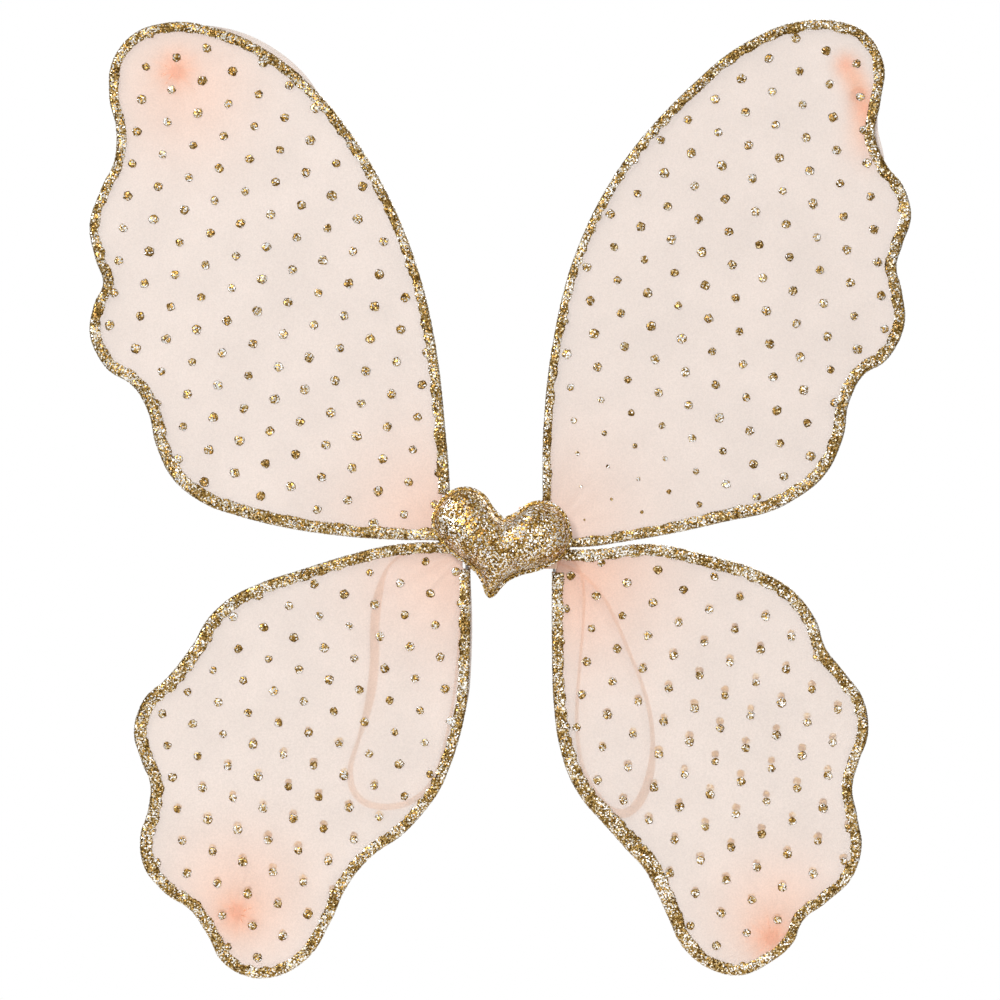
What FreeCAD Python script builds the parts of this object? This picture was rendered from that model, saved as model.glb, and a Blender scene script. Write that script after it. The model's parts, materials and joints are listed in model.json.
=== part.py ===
"""Child's fairy wings: four nylon-covered wire wings hinged on a small padded hub with a stuffed heart.

Millimetres. +Z is up as worn, +Y points at the wearer's back and -Y is the showy side with the heart.
The origin is the centre of the back pad's rear face. Each wing folds about the upright run of its own
wire frame, which turns in a cloth tape loop on the hub. Every sub-part is one STEP file in parts/.
"""

import FreeCAD
import Part
import math
import os

# Depths, from the wearer's side forwards
PAD_COVER_T = 0.6        # felt over the foam
WING_Y = -7.0            # middle plane of the wire frames
TAPE_T = 0.6             # woven cotton tape of the hinges
BOARD_T = 1.2            # stiff card that carries the tapes
GLUE_PAD_T = 2.0         # foam adhesive pad between the card and the heart
CLOTH_T = 0.6            # backing and face cloth of the heart
HEART_DOME = 12.0        # stuffed height in front of the seam

# Wings
WIRE_R = 1.0
NYLON_T = 0.3
NYLON_SLACK = 0.05       # between the wire and the nylon drawn over it
GLITTER_W = 6.2          # printed glitter border
GLITTER_T = 0.4
CORNER_R = 2.5           # bend between the upright run and the root leg
ROOT_CLEAR_R = 9.5       # bare wire around each root corner
ROOT_CLEAR_X = 2.3       # bare strip beside each upright run
CRIMP_R = 1.5
CRIMP_BORE_R = 1.03
CRIMP_LEN = 4.5
CRIMP_START = 2.8        # from the hinge axis, along the root leg
BUTT_GAP = 0.4           # between the two wire ends inside the crimp

# Hinges
TAPE_BORE_R = 1.06
TAPE_OUTER_R = TAPE_BORE_R + TAPE_T
TAPE_TAIL = 13.0

# Hub
PAD_W, PAD_H, PAD_CORNER = 32.0, 22.0, 5.0
BOARD_SPLIT_Z = 2.2      # between the card's reach to the upper hinges and to the lower ones
BOARD_UPPER_X = (-26.5, 16.5)
BOARD_LOWER_X = (-16.5, 21.0)
BOARD_SHARE, GLUE_SHARE = 0.86, 0.55             # of the heart's outline
KNOT_LEN, KNOT_H, KNOT_CORNER = 5.0, 8.5, 1.2
KNOT_X, KNOT_Z = 10.0, -6.1                      # outer end and middle height
STITCH_R = 0.45
STITCHES = [(-15, 8.8), (-13, 5.5), (8.5, 8.8), (8.5, 5.5), (-12.5, 0), (12.5, 0)]

# Heart
HEART_X, HEART_Z, HEART_TILT = -3.2, 2.0, -10.0
HEART_HALF_W = 34.5
SEAM_FLANGE = 2.6
STITCH_FROM, STITCH_TO = 0.41, 1.21              # the sewn line's two sides, outside the dome's foot
TOPSTITCH_R = 0.35
FACE_SHARE = 1 - SEAM_FLANGE / HEART_HALF_W      # of the outline, at the dome's foot
FACE_WALL_SHARE = 0.02
LAP = 0.01               # by which two solids overlap where they are joined

# Elastic straps
STRAP_W, STRAP_T = 4.6, 1.6
STRAP_Y = -3.0
STRAP_CUT = 0.45         # share of a straight run that its bend may take

# Tied gathers behind the wing tips
GATHER_BASE_R, GATHER_NECK_R, GATHER_TUFT_R = 5.0, 2.2, 3.8
GATHER_RISE, GATHER_NECK, GATHER_TUFT = 2.2, 1.0, 3.0
TIE_T = 0.7

NYLON_HALF = WIRE_R + NYLON_SLACK + NYLON_T      # half the thickness of a covered wing
FRONT_Y = WING_Y - NYLON_HALF                    # front face of the nylon
REAR_Y = WING_Y + NYLON_HALF                     # rear face of the nylon
TAPE_FRONT_Y = WING_Y - TAPE_OUTER_R
BOARD_FRONT_Y = TAPE_FRONT_Y - BOARD_T
HEART_REAR_Y = BOARD_FRONT_Y - GLUE_PAD_T
SEAM_Y = HEART_REAR_Y - CLOTH_T
FOAM_FRONT_Y = TAPE_FRONT_Y + TAPE_T
BEYOND = 60.0            # further than any piece reaches from the hub, for cutting tools
GAP_INBOARD = 8.0        # how far the root's clearance runs inboard of the hinge
FORWARDS_TO_BACK = FreeCAD.Vector(0, 1, 0)
STRAIGHT_SINE = 1e-5
SHORTEST = 1e-6

# Each wing: the hinge axis in x, the side it lies on, the way up or down its upright run points, the
# heights of the tape loop, and the edge as (x, z) points from the upright run round to the root leg.
WINGS = {
    "upper_left": {
        "axis": -29.0, "side": -1, "run": 1, "tape": (9.0, 21.0), "gather": (-160.0, 229.5),
        "edge": [
            (-27.65, 24), (-30, 58), (-34, 93.5), (-42.3, 131), (-56.3, 167), (-75.8, 199.8),
            (-89, 216.5), (-106.2, 232.8), (-138, 249.8), (-163.5, 253.5), (-181, 248),
            (-191.5, 234.5), (-193, 218), (-189.5, 200.5), (-190.5, 186.5), (-197, 172.5),
            (-202.5, 155), (-199.5, 138), (-196, 127), (-200.5, 116), (-202.5, 103), (-196, 87.5),
            (-179.5, 74.5), (-173.5, 62.5), (-170.5, 49), (-161.5, 31), (-146, 19.3), (-130, 13.6),
            (-112, 9), (-77, 3.7), (-42, 2),
        ],
    },
    "upper_right": {
        "axis": 19.0, "side": 1, "run": 1, "tape": (6.0, 18.0), "gather": (171.0, 219.0),
        "edge": [
            (17.65, 21), (18, 55.5), (22, 94.5), (33.5, 141), (54, 181.5), (87, 220), (113.5, 242),
            (138, 253), (158, 254.5), (174.5, 248.5), (183, 234.5), (181.5, 214), (179, 199.5),
            (184, 185.5), (193.5, 172.5), (196.5, 158.5), (192.5, 146), (189.5, 135.5), (192, 123),
            (193.5, 108), (185.5, 90.5), (172, 80.5), (166.5, 69), (163.5, 52), (154.5, 33.5),
            (137, 20), (100, 9.5), (65, 2.5), (32, -1.5),
        ],
    },
    "lower_left": {
        "axis": -19.0, "side": -1, "run": -1, "tape": (-9.5, -3.2), "gather": (-131.0, -179.0),
        "edge": [
            (-17.65, -12), (-17.65, -46.5), (-20, -81.5), (-26.8, -106), (-32.6, -119.5),
            (-40.3, -130.3), (-51, -141.5), (-64, -150.4), (-72, -158.4), (-78.5, -168),
            (-85.5, -183.5), (-96.5, -201),
            (-110, -209.5), (-124.5, -210.5), (-138, -203), (-145.5, -189.5), (-153, -178.5),
            (-166.5, -169), (-176, -157), (-178, -143), (-174, -128.5), (-173, -117), (-177.5, -105),
            (-181, -91.5), (-177, -77), (-163.5, -63.5), (-152.5, -49), (-144.8, -36), (-135.3, -27),
            (-119, -18.8), (-100, -12.6), (-80, -6.3), (-58, -0.9), (-36, 0.9),
        ],
    },
    "lower_right": {
        "axis": 23.5, "side": 1, "run": -1, "tape": (-12.0, -6.7), "gather": (129.0, -191.5),
        "edge": [
            (22.15, -13), (22.15, -46.5), (23, -77), (25.3, -95.5), (31.8, -115.6), (38.2, -125.8),
            (45.8, -134.3), (58.4, -148.5), (67.5, -158.6), (72.6, -168.1), (78.5, -181),
            (85.5, -195.5), (97, -205.5), (113.5, -209.5),
            (128.5, -203), (139, -194), (144, -183), (155.5, -174), (167.5, -162.5),
            (172.5, -147.5), (170.5, -133), (168, -117.5), (171, -106), (175.5, -93), (173.5, -76),
            (163, -61), (155.5, -51.5), (150, -36.5), (139.5, -23), (124, -13.5), (100, -6),
            (74.5, -0.4), (36, -2.7),
        ],
    },
}

# Right half of the heart's edge in its own upright frame, from the cleft round to the point
HEART_HALF = [
    (0, 10.5), (5, 14.5), (12, 21), (19.5, 22.8), (27, 20), (32.5, 13), (34.5, 5), (32.5, -2),
    (27, -7.5), (20, -12), (13.3, -15), (7.6, -19), (4.3, -23.5), (2.2, -27.2), (0, -28.6),
]
# The edge's directions as it leaves the cleft and as it comes to the point
HEART_CLEFT_WAY, HEART_POINT_WAY = (0.5, 0.86), (-1.0, 0.0)
# The stuffed dome as (share of the outline, share of the height), from the seam to the crown
HEART_LEVELS = [(1.0, 0.0), (0.97, 0.25), (0.86, 0.58), (0.66, 0.85), (0.40, 1.0)]

# Routes of the elastic loops, (x, z), from one end in the pad to the other
STRAPS = {
    "left": [
        (-10, -3.5), (-20, -3.5), (-33, -1.8), (-46, -3), (-57.5, -9), (-62.5, -23.5), (-64.5, -41),
        (-64, -59), (-66.5, -77), (-71.5, -94), (-76.5, -108), (-75.6, -120), (-68, -127.5),
        (-54, -128.5), (-41.5, -123.3), (-33.5, -112), (-29.5, -96), (-26, -78), (-24, -60),
        (-22.5, -42), (-22, -26), (-20, -14), (-15, -9), (-10, -8.5),
    ],
    "right": [
        (10, -4), (19, -4), (28, -5), (35.5, -10.5), (38, -22.5), (37.5, -38), (36, -56),
        (34.5, -73), (34, -90), (36, -106), (41, -119), (48.5, -129.5), (58, -132.5), (66.2, -124.5),
        (70.8, -110), (71.5, -94.5), (69.5, -79.5), (65, -65), (59, -51), (53.5, -37.5), (47, -25),
        (38.5, -15.5), (28, -10), (19, -8.6), (10, -8.5),
    ],
}


def vec(x, z, y=0.0):
    """A point given as (x, z) in the plane at depth y."""
    return FreeCAD.Vector(x, y, z)


def straight(a, b):
    """A straight edge between two points."""
    return Part.LineSegment(a, b).toShape()


def unit(v):
    """The plane vector (x, z) at length one."""
    size = math.hypot(*v)
    return (v[0] / size, v[1] / size)


def knot_tangents(points, first, last):
    """Tangent at each knot: of the circle through it and its neighbours, with both ends given."""
    tangents = [unit(first)]
    for a, b, c in zip(points, points[1:], points[2:]):
        back = (b[0] - a[0], b[1] - a[1])
        on = (c[0] - b[0], c[1] - b[1])
        wb, wo = 1 / math.hypot(*back) ** 2, 1 / math.hypot(*on) ** 2
        tangents.append(unit((back[0] * wb + on[0] * wo, back[1] * wb + on[1] * wo)))
    return tangents + [unit(last)]


def stations(points, first, last):
    """Stations (x, z, tx, tz) of a smooth chain of arcs through the points, two arcs to a stretch."""
    tangents = knot_tangents(points, first, last)
    found = [(*points[0], *tangents[0])]
    for p, q, s, t in zip(points, points[1:], tangents, tangents[1:]):
        v = (q[0] - p[0], q[1] - p[1])
        both = (s[0] + t[0], s[1] + t[1])
        along = v[0] * both[0] + v[1] * both[1]
        square = v[0] ** 2 + v[1] ** 2
        spread = 2 * (1 - (s[0] * t[0] + s[1] * t[1]))
        if spread < 1e-9:
            reach = square / (2 * along)
        else:
            reach = (math.sqrt(along ** 2 + spread * square) - along) / spread
        mid = ((p[0] + q[0] + reach * (s[0] - t[0])) / 2, (p[1] + q[1] + reach * (s[1] - t[1])) / 2)
        chord = unit((mid[0] - p[0], mid[1] - p[1]))
        turn = 2 * (s[0] * chord[0] + s[1] * chord[1])
        found.append((*mid, turn * chord[0] - s[0], turn * chord[1] - s[1]))
        found.append((*q, *t))
    return found


def shifted(chain, inward, hand):
    """The chain moved sideways by inward; hand is 1 where the inside lies on the left of travel."""
    step = inward * hand
    return [(x - tz * step, z + tx * step, tx, tz) for x, z, tx, tz in chain]


def arcs(chain, y=0.0):
    """The chain's edges at depth y: an arc from each station to the next, or a line if it is straight."""
    edges = []
    for (ax, az, tx, tz), (bx, bz, _, _) in zip(chain, chain[1:]):
        chord = (bx - ax, bz - az)
        length = math.hypot(*chord)
        if length < SHORTEST:
            continue
        sine = (tx * chord[1] - tz * chord[0]) / length
        a, b = vec(ax, az, y), vec(bx, bz, y)
        if abs(sine) < STRAIGHT_SINE:
            edges.append(straight(a, b))
            continue
        sag = length / 2 * math.tan(math.asin(sine) / 2)
        crown = vec((ax + bx) / 2 + chord[1] / length * sag, (az + bz) / 2 - chord[0] / length * sag, y)
        edges.append(Part.Arc(a, crown, b).toShape())
    return edges


def prism(edges, depth):
    """A solid from closed edges, drawn along +Y by depth."""
    return Part.Face(Part.Wire(edges)).extrude(FreeCAD.Vector(0, depth, 0))


def box(x, y, z):
    """A box from three (low, high) pairs."""
    size = [b - a for a, b in (x, y, z)]
    return Part.makeBox(*size, FreeCAD.Vector(x[0], y[0], z[0]))


def rod(radius, start, end):
    """A round rod between two points."""
    return Part.makeCylinder(radius, (end - start).Length, start, end - start)


def sweep(edges, profile):
    """A solid made by carrying the closed profile wire along the edges."""
    return Part.Wire(edges).makePipeShell([profile], True, False)


def wing_chain(wing):
    """Stations of the wing's outer edge from the upright run round to the root leg."""
    points = wing["edge"]
    return stations(points, (0, wing["run"]), (-wing["side"], 0))


def wing_hand(wing):
    """1 where the wing's inside lies on the left of its edge's direction of travel."""
    return -wing["side"] * wing["run"]


def root_corner(wing, inward):
    """Where the edge, moved inward, would meet itself at the root: under the upright run."""
    x = wing["axis"] + (inward - NYLON_HALF) * wing["side"]
    z = wing["edge"][-1][1] + inward * wing["run"]
    return x, z


def wing_face_edges(wing, inward, y):
    """Closed edges of the wing's outline, moved inward, at depth y."""
    chain = shifted(wing_chain(wing), inward, wing_hand(wing))
    x, z = root_corner(wing, inward)
    corner = vec(x, z, y)
    start = straight(corner, vec(*chain[0][:2], y))
    end = straight(vec(*chain[-1][:2], y), corner)
    return [start] + arcs(chain, y) + [end]


def root_gap(wing):
    """The room left bare at the root for the hinge tape, the crimp and the wire's corner."""
    x, z = root_corner(wing, NYLON_HALF)
    near, far = WING_Y - BEYOND, WING_Y + BEYOND
    disc = Part.makeCylinder(ROOT_CLEAR_R, far - near, vec(x, z, near), FORWARDS_TO_BACK)
    top = z + wing["run"] * abs(wing["edge"][0][1] - z)
    reach = sorted((x - GAP_INBOARD * wing["side"], x + ROOT_CLEAR_X * wing["side"]))
    return disc.fuse(box(reach, (near, far), sorted((z, top))))


def wire_frame(wing):
    """The wing's wire: the loop with its upright run on the hinge axis, open inside the crimp."""
    side, run = wing["side"], wing["run"]
    chain = shifted(wing_chain(wing), NYLON_HALF, wing_hand(wing))
    x, z = root_corner(wing, NYLON_HALF)
    middle = wing["axis"] + side * (CRIMP_START + CRIMP_LEN / 2)
    start = vec(middle - side * BUTT_GAP / 2, z, WING_Y)
    end = vec(middle + side * BUTT_GAP / 2, z, WING_Y)
    bend_mid = CORNER_R * (1 - math.sqrt(0.5))
    bend_start = vec(x + side * CORNER_R, z, WING_Y)
    bend_end = vec(x, z + run * CORNER_R, WING_Y)
    bend = Part.Arc(bend_start, vec(x + side * bend_mid, z + run * bend_mid, WING_Y), bend_end)
    edges = [
        straight(start, bend_start),
        bend.toShape(),
        straight(bend_end, vec(*chain[0][:2], WING_Y)),
        *arcs(chain, WING_Y),
        straight(vec(*chain[-1][:2], WING_Y), end),
    ]
    ring = Part.Wire([Part.makeCircle(WIRE_R, start, FreeCAD.Vector(-side, 0, 0))])
    return sweep(edges, ring)


def wire_crimp(wing):
    """The short tube squeezed over the two ends of the wire."""
    side = wing["side"]
    _, z = root_corner(wing, NYLON_HALF)
    near = vec(wing["axis"] + side * CRIMP_START, z, WING_Y)
    far = vec(wing["axis"] + side * (CRIMP_START + CRIMP_LEN), z, WING_Y)
    return rod(CRIMP_R, near, far).cut(rod(CRIMP_BORE_R, near, far))


def nylon_cover(wing):
    """The nylon sleeve: two plies closed round the wire and open at the root."""
    outer = prism(wing_face_edges(wing, 0, FRONT_Y), 2 * NYLON_HALF)
    inner = prism(wing_face_edges(wing, NYLON_T, FRONT_Y + NYLON_T), 2 * (NYLON_HALF - NYLON_T))
    return outer.cut(inner).cut(root_gap(wing))


def glitter_border(wing):
    """The glitter printed along the edge of the front ply."""
    y = FRONT_Y - GLITTER_T
    outer = prism(wing_face_edges(wing, 0, y), GLITTER_T)
    inner = prism(wing_face_edges(wing, GLITTER_W, y), GLITTER_T)
    return outer.cut(inner).cut(root_gap(wing))


def turned(points, x, z):
    """A solid turned about the line along Y through (x, z), from a profile of (radius, y) points."""
    ring = [FreeCAD.Vector(x + r, y, z) for r, y in points]
    face = Part.Face(Part.makePolygon(ring + ring[:1]))
    return face.revolve(FreeCAD.Vector(x, 0, z), FORWARDS_TO_BACK, 360)


def tip_gather(wing):
    """The end of the nylon sleeve, pulled to a neck behind the tip, with its cut tuft."""
    neck = REAR_Y + GATHER_RISE
    top = neck + GATHER_NECK
    profile = [
        (0, REAR_Y), (GATHER_BASE_R, REAR_Y), (GATHER_NECK_R, neck), (GATHER_NECK_R, top),
        (GATHER_TUFT_R, top + GATHER_TUFT), (0, top + GATHER_TUFT),
    ]
    return turned(profile, *wing["gather"])


def gather_tie(wing):
    """The thread wound round the neck of the gather."""
    low = REAR_Y + GATHER_RISE
    high = low + GATHER_NECK
    outer = GATHER_NECK_R + TIE_T
    profile = [(GATHER_NECK_R, low), (outer, low), (outer, high), (GATHER_NECK_R, high)]
    return turned(profile, *wing["gather"])


def tape_hinge(wing):
    """Cotton tape looped round the upright run, with both tails laid inwards on the board."""
    low, high = wing["tape"]
    axis, side = wing["axis"], wing["side"]
    bottom, top = vec(axis, low, WING_Y), vec(axis, high, WING_Y)
    reach = sorted((axis, axis - side * TAPE_TAIL))
    tail = box(reach, (TAPE_FRONT_Y, TAPE_FRONT_Y + TAPE_T), (low, high))
    loop = rod(TAPE_OUTER_R, bottom, top).fuse(tail)
    return loop.cut(rod(TAPE_BORE_R, bottom, top)).removeSplitter()


def tilted(x, z):
    """(x, z) turned by the heart's tilt."""
    tilt = math.radians(HEART_TILT)
    return (x * math.cos(tilt) - z * math.sin(tilt), x * math.sin(tilt) + z * math.cos(tilt))


def heart_wire(scale, y):
    """The heart's outline at a scale and depth: two mirrored chains of arcs."""
    right = stations(HEART_HALF, HEART_CLEFT_WAY, HEART_POINT_WAY)
    sides = []
    for mirror in (1, -1):
        chain = []
        for x, z, tx, tz in right:
            px, pz = tilted(mirror * x * scale, z * scale)
            ux, uz = tilted(mirror * tx, tz)
            chain.append((HEART_X + px, HEART_Z + pz, ux, uz))
        if mirror < 0:
            chain = [(x, z, -tx, -tz) for x, z, tx, tz in reversed(chain)]
        sides += arcs(chain, y)
    return Part.Wire(sides)


def heart_dome(scale, height, base_y):
    """A rounded heart cushion rising forwards from base_y."""
    rings = [heart_wire(scale * s, base_y - height * h) for s, h in HEART_LEVELS]
    return Part.makeLoft(rings, True, True)


def heart_slab(scale, front_y, thickness):
    """A flat heart from front_y towards the wearer."""
    return Part.Face(heart_wire(scale, front_y)).extrude(FreeCAD.Vector(0, thickness, 0))


def heart_parts():
    """The stuffed heart: face cloth, backing cloth, stuffing and the sewn line round the edge."""
    hollow = heart_dome(FACE_SHARE - FACE_WALL_SHARE, HEART_DOME - 2 * CLOTH_T, SEAM_Y)
    flange = heart_slab(1.0, SEAM_Y - CLOTH_T, CLOTH_T)
    face = flange.fuse(heart_dome(FACE_SHARE, HEART_DOME, SEAM_Y - LAP)).cut(hollow)
    thread_y = SEAM_Y - CLOTH_T - 2 * TOPSTITCH_R
    outer = heart_slab(FACE_SHARE + STITCH_TO / HEART_HALF_W, thread_y, 2 * TOPSTITCH_R)
    thread = outer.cut(heart_slab(FACE_SHARE + STITCH_FROM / HEART_HALF_W, thread_y, 2 * TOPSTITCH_R))
    return {
        "heart_face_cloth": face.removeSplitter(),
        "heart_back_cloth": heart_slab(1.0, SEAM_Y, CLOTH_T),
        "heart_stuffing": hollow,
        "heart_topstitch": thread,
    }


def strap_chain(points):
    """Stations of a route of straight runs joined by arcs as large as the runs allow."""
    chain = []
    radii = []
    for a, b, c in zip(points, points[1:], points[2:]):
        back, on = (a[0] - b[0], a[1] - b[1]), (c[0] - b[0], c[1] - b[1])
        u, v = unit(back), unit(on)
        half_turn = (math.pi - math.acos(max(-1, min(1, u[0] * v[0] + u[1] * v[1])))) / 2
        cut = STRAP_CUT * min(math.hypot(*back), math.hypot(*on))
        radii.append(cut / math.tan(half_turn))
        if not chain:
            chain.append((*a, -u[0], -u[1]))
        chain.append((b[0] + u[0] * cut, b[1] + u[1] * cut, -u[0], -u[1]))
        chain.append((b[0] + v[0] * cut, b[1] + v[1] * cut, *v))
        last = (*c, *v)
    print("strap bend radii, mm:", " ".join(f"{r:.0f}" for r in radii))
    return chain + [last]


def shoulder_strap(points):
    """One elastic loop: a flat band standing on edge behind the lower wing."""
    edges = arcs(strap_chain(points), STRAP_Y)
    x, z = points[0]
    front, rear = STRAP_Y - STRAP_W / 2, STRAP_Y + STRAP_W / 2
    low, high = z - STRAP_T / 2, z + STRAP_T / 2
    ring = [vec(x, low, front), vec(x, low, rear), vec(x, high, rear), vec(x, high, front)]
    band = sweep(edges, Part.makePolygon(ring + ring[:1]))
    length = sum(e.Length for e in edges)
    fill = band.Volume / (length * STRAP_W * STRAP_T)
    print(f"strap length {length:.1f} mm, volume over section times length {fill:.4f}")
    return band


def strap_knot(side):
    """The knot that joins the two ends of a loop inside the pad."""
    reach = sorted((side * KNOT_X, side * (KNOT_X - KNOT_LEN)))
    depth = (STRAP_Y - STRAP_W / 2, STRAP_Y + STRAP_W / 2)
    block = box(reach, depth, (KNOT_Z - KNOT_H / 2, KNOT_Z + KNOT_H / 2))
    return block.makeFillet(KNOT_CORNER, edges_along_y(block))


def edges_along_y(solid):
    """The solid's edges that run from front to back."""
    return [e for e in solid.Edges if abs(e.tangentAt(e.FirstParameter).y) > 0.99]


def pad_slab(width, height, corner, y, thickness):
    """A rounded rectangle centred on the origin in x and z."""
    slab = box((-width / 2, width / 2), (y, y + thickness), (-height / 2, height / 2))
    return slab.makeFillet(corner, edges_along_y(slab))


def hub_board():
    """Stiff card behind the heart, cut to stay inside it and short of the hinge axes."""
    card = heart_slab(BOARD_SHARE, BOARD_FRONT_Y, BOARD_T)
    depth = (BOARD_FRONT_Y, BOARD_FRONT_Y + BOARD_T)
    upper = box(BOARD_UPPER_X, depth, (BOARD_SPLIT_Z, BEYOND))
    return card.common(upper.fuse(box(BOARD_LOWER_X, depth, (-BEYOND, BOARD_SPLIT_Z))))


def hub_parts():
    """The hub without the heart: card, pads, straps, their knots and the stitches through them."""
    parts = {f"{side}_shoulder_strap": shoulder_strap(points) for side, points in STRAPS.items()}
    parts.update({"left_strap_knot": strap_knot(-1), "right_strap_knot": strap_knot(1)})
    foam = pad_slab(PAD_W, PAD_H, PAD_CORNER, FOAM_FRONT_Y, -PAD_COVER_T - FOAM_FRONT_Y)
    for piece in list(parts.values()):
        foam = foam.cut(piece)
    stitches = [
        rod(STITCH_R, vec(x, z, BOARD_FRONT_Y), vec(x, z, -PAD_COVER_T)) for x, z in STITCHES
    ]
    board = hub_board()
    for stitch in stitches:
        foam, board = foam.cut(stitch), board.cut(stitch)
    parts["back_pad_foam"] = foam
    parts["back_pad_felt"] = pad_slab(PAD_W, PAD_H, PAD_CORNER, -PAD_COVER_T, PAD_COVER_T)
    parts["hub_board"] = board
    glue = heart_slab(GLUE_SHARE, HEART_REAR_Y, GLUE_PAD_T)
    room = box(BOARD_UPPER_X, (HEART_REAR_Y, BOARD_FRONT_Y), (-BEYOND, BEYOND))
    parts["heart_glue_pad"] = glue.common(room)
    parts["hub_stitches"] = Part.makeCompound(stitches)
    return parts


def main():
    """Builds every sub-part and writes it to parts/."""
    os.makedirs("parts", exist_ok=True)
    makers = {
        "wire_frame": wire_frame, "wire_crimp": wire_crimp, "nylon_cover": nylon_cover,
        "glitter_border": glitter_border, "tip_gather": tip_gather, "gather_tie": gather_tie,
        "tape_hinge": tape_hinge,
    }
    parts = {**hub_parts(), **heart_parts()}
    for name, wing in WINGS.items():
        for node, maker in makers.items():
            parts[f"{name}_{node}"] = maker(wing)
    stitches = parts["hub_stitches"]
    for name in WINGS:
        parts[f"{name}_tape_hinge"] = parts[f"{name}_tape_hinge"].cut(stitches)
    for name, shape in parts.items():
        shape.exportStep(f"parts/{name}.step")


main()
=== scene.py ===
"""Looks of a child's fairy wings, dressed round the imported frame.

Four sheer nylon wings with glitter borders and dots hang on a small felt-covered hub behind a stuffed
glitter heart. Two loops of flat elastic hang behind the lower wings. Lengths in the classes are in
millimetres unless a name says otherwise, and every mesh is in metres in the frame's own axes.
"""

import json
import logging
import math
from dataclasses import dataclass, field
from enum import Enum
from typing import Sequence

import bpy
import numpy as np
from mathutils import Matrix, Vector


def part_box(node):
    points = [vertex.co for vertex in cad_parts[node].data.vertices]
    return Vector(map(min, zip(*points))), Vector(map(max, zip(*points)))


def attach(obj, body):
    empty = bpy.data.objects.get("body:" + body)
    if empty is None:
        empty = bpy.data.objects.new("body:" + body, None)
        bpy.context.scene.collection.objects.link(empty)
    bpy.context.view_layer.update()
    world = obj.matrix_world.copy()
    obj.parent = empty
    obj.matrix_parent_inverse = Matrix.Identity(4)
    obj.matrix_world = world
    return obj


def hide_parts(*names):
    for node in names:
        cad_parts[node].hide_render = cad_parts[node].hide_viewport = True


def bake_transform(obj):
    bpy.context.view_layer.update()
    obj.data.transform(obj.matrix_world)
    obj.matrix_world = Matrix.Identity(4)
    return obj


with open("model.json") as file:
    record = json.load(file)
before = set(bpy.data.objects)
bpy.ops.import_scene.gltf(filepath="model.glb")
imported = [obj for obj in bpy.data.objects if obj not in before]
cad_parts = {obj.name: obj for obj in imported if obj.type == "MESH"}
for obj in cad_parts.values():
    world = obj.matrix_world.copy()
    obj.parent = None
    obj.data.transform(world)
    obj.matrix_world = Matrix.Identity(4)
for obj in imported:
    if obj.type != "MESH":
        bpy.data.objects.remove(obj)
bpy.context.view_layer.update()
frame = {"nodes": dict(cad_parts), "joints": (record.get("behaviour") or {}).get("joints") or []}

log = logging.getLogger("fairy_wings")

MM = 0.001
NOISE_LOW, NOISE_HIGH = 0.3, 0.7   # nearly all of a noise's values lie between these
REARWARDS = (0.0, 1.0, 0.0)
Pair = tuple[float, float]


class Tier(Enum):
    """Where a wing sits: above the hub or below it."""

    UPPER = 1
    LOWER = -1


class Side(Enum):
    """Which side of the hub a wing is on, as a sign along x."""

    LEFT = -1
    RIGHT = 1


# Shared tools


def linear(hex_colour: str) -> tuple[float, float, float, float]:
    """Turns an sRGB hex colour to linear light.

    Args:
        hex_colour: a colour such as "#F2E5DB".

    Returns:
        Linear red, green, blue and an alpha of 1.
    """
    value = np.array([int(hex_colour[i:i + 2], 16) for i in (1, 3, 5)]) / 255
    light = np.where(value <= 0.04045, value / 12.92, ((value + 0.055) / 1.055) ** 2.4)
    return (*light.tolist(), 1.0)


def add_node(
    tree: bpy.types.NodeTree,
    kind: str,
    inputs: dict | None = None,
    stops: Sequence[tuple[float, str]] = (),
    **settings: object,
) -> bpy.types.Node:
    """Adds one shader node with its settings and links.

    Args:
        tree: the node tree that it joins.
        kind: the node's type without its "ShaderNode" start.
        inputs: socket name or number to a plain value or to the output that feeds it.
        stops: places and hex colours, where the node holds a colour ramp.
        settings: the node's own properties.

    Returns:
        The new node.
    """
    node = tree.nodes.new("ShaderNode" + kind)
    for name, value in settings.items():
        setattr(node, name, value)
    for name, value in (inputs or {}).items():
        if isinstance(value, bpy.types.NodeSocket):
            tree.links.new(value, node.inputs[name])
        else:
            node.inputs[name].default_value = value
    for i, (place, colour) in enumerate(stops):
        element = node.color_ramp.elements[i] if i < 2 else node.color_ramp.elements.new(place)
        element.position = place
        element.color = linear(colour)
    return node


def line_points(points: Sequence[Sequence[float]], step: float) -> np.ndarray:
    """Evenly spaced points along the NURBS line that the given points control.

    Args:
        points: control points in millimetres.
        step: spacing of the result in millimetres.

    Returns:
        Points in metres, shape (n, 3).
    """
    curve = bpy.data.curves.new("route", "CURVE")
    curve.dimensions = "3D"
    curve.resolution_u = 32
    spline = curve.splines.new("NURBS")
    spline.points.add(len(points) - 1)
    places = np.array([(*p, 1 / MM) for p in points]) * MM
    spline.points.foreach_set("co", places.ravel())
    spline.order_u = 3
    spline.use_endpoint_u = True
    holder = bpy.data.objects.new("route", curve)
    mesh = bpy.data.meshes.new_from_object(holder)
    found = np.zeros(len(mesh.vertices) * 3)
    mesh.vertices.foreach_get("co", found)
    bpy.data.objects.remove(holder)
    bpy.data.curves.remove(curve)
    return even_steps(found.reshape(-1, 3), step * MM)


def way_along(line: np.ndarray) -> np.ndarray:
    """How far along a line of straight pieces each of its corners is, from 0 at the first."""
    return np.concatenate([[0], np.cumsum(np.linalg.norm(np.diff(line, axis=0), axis=1))])


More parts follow.
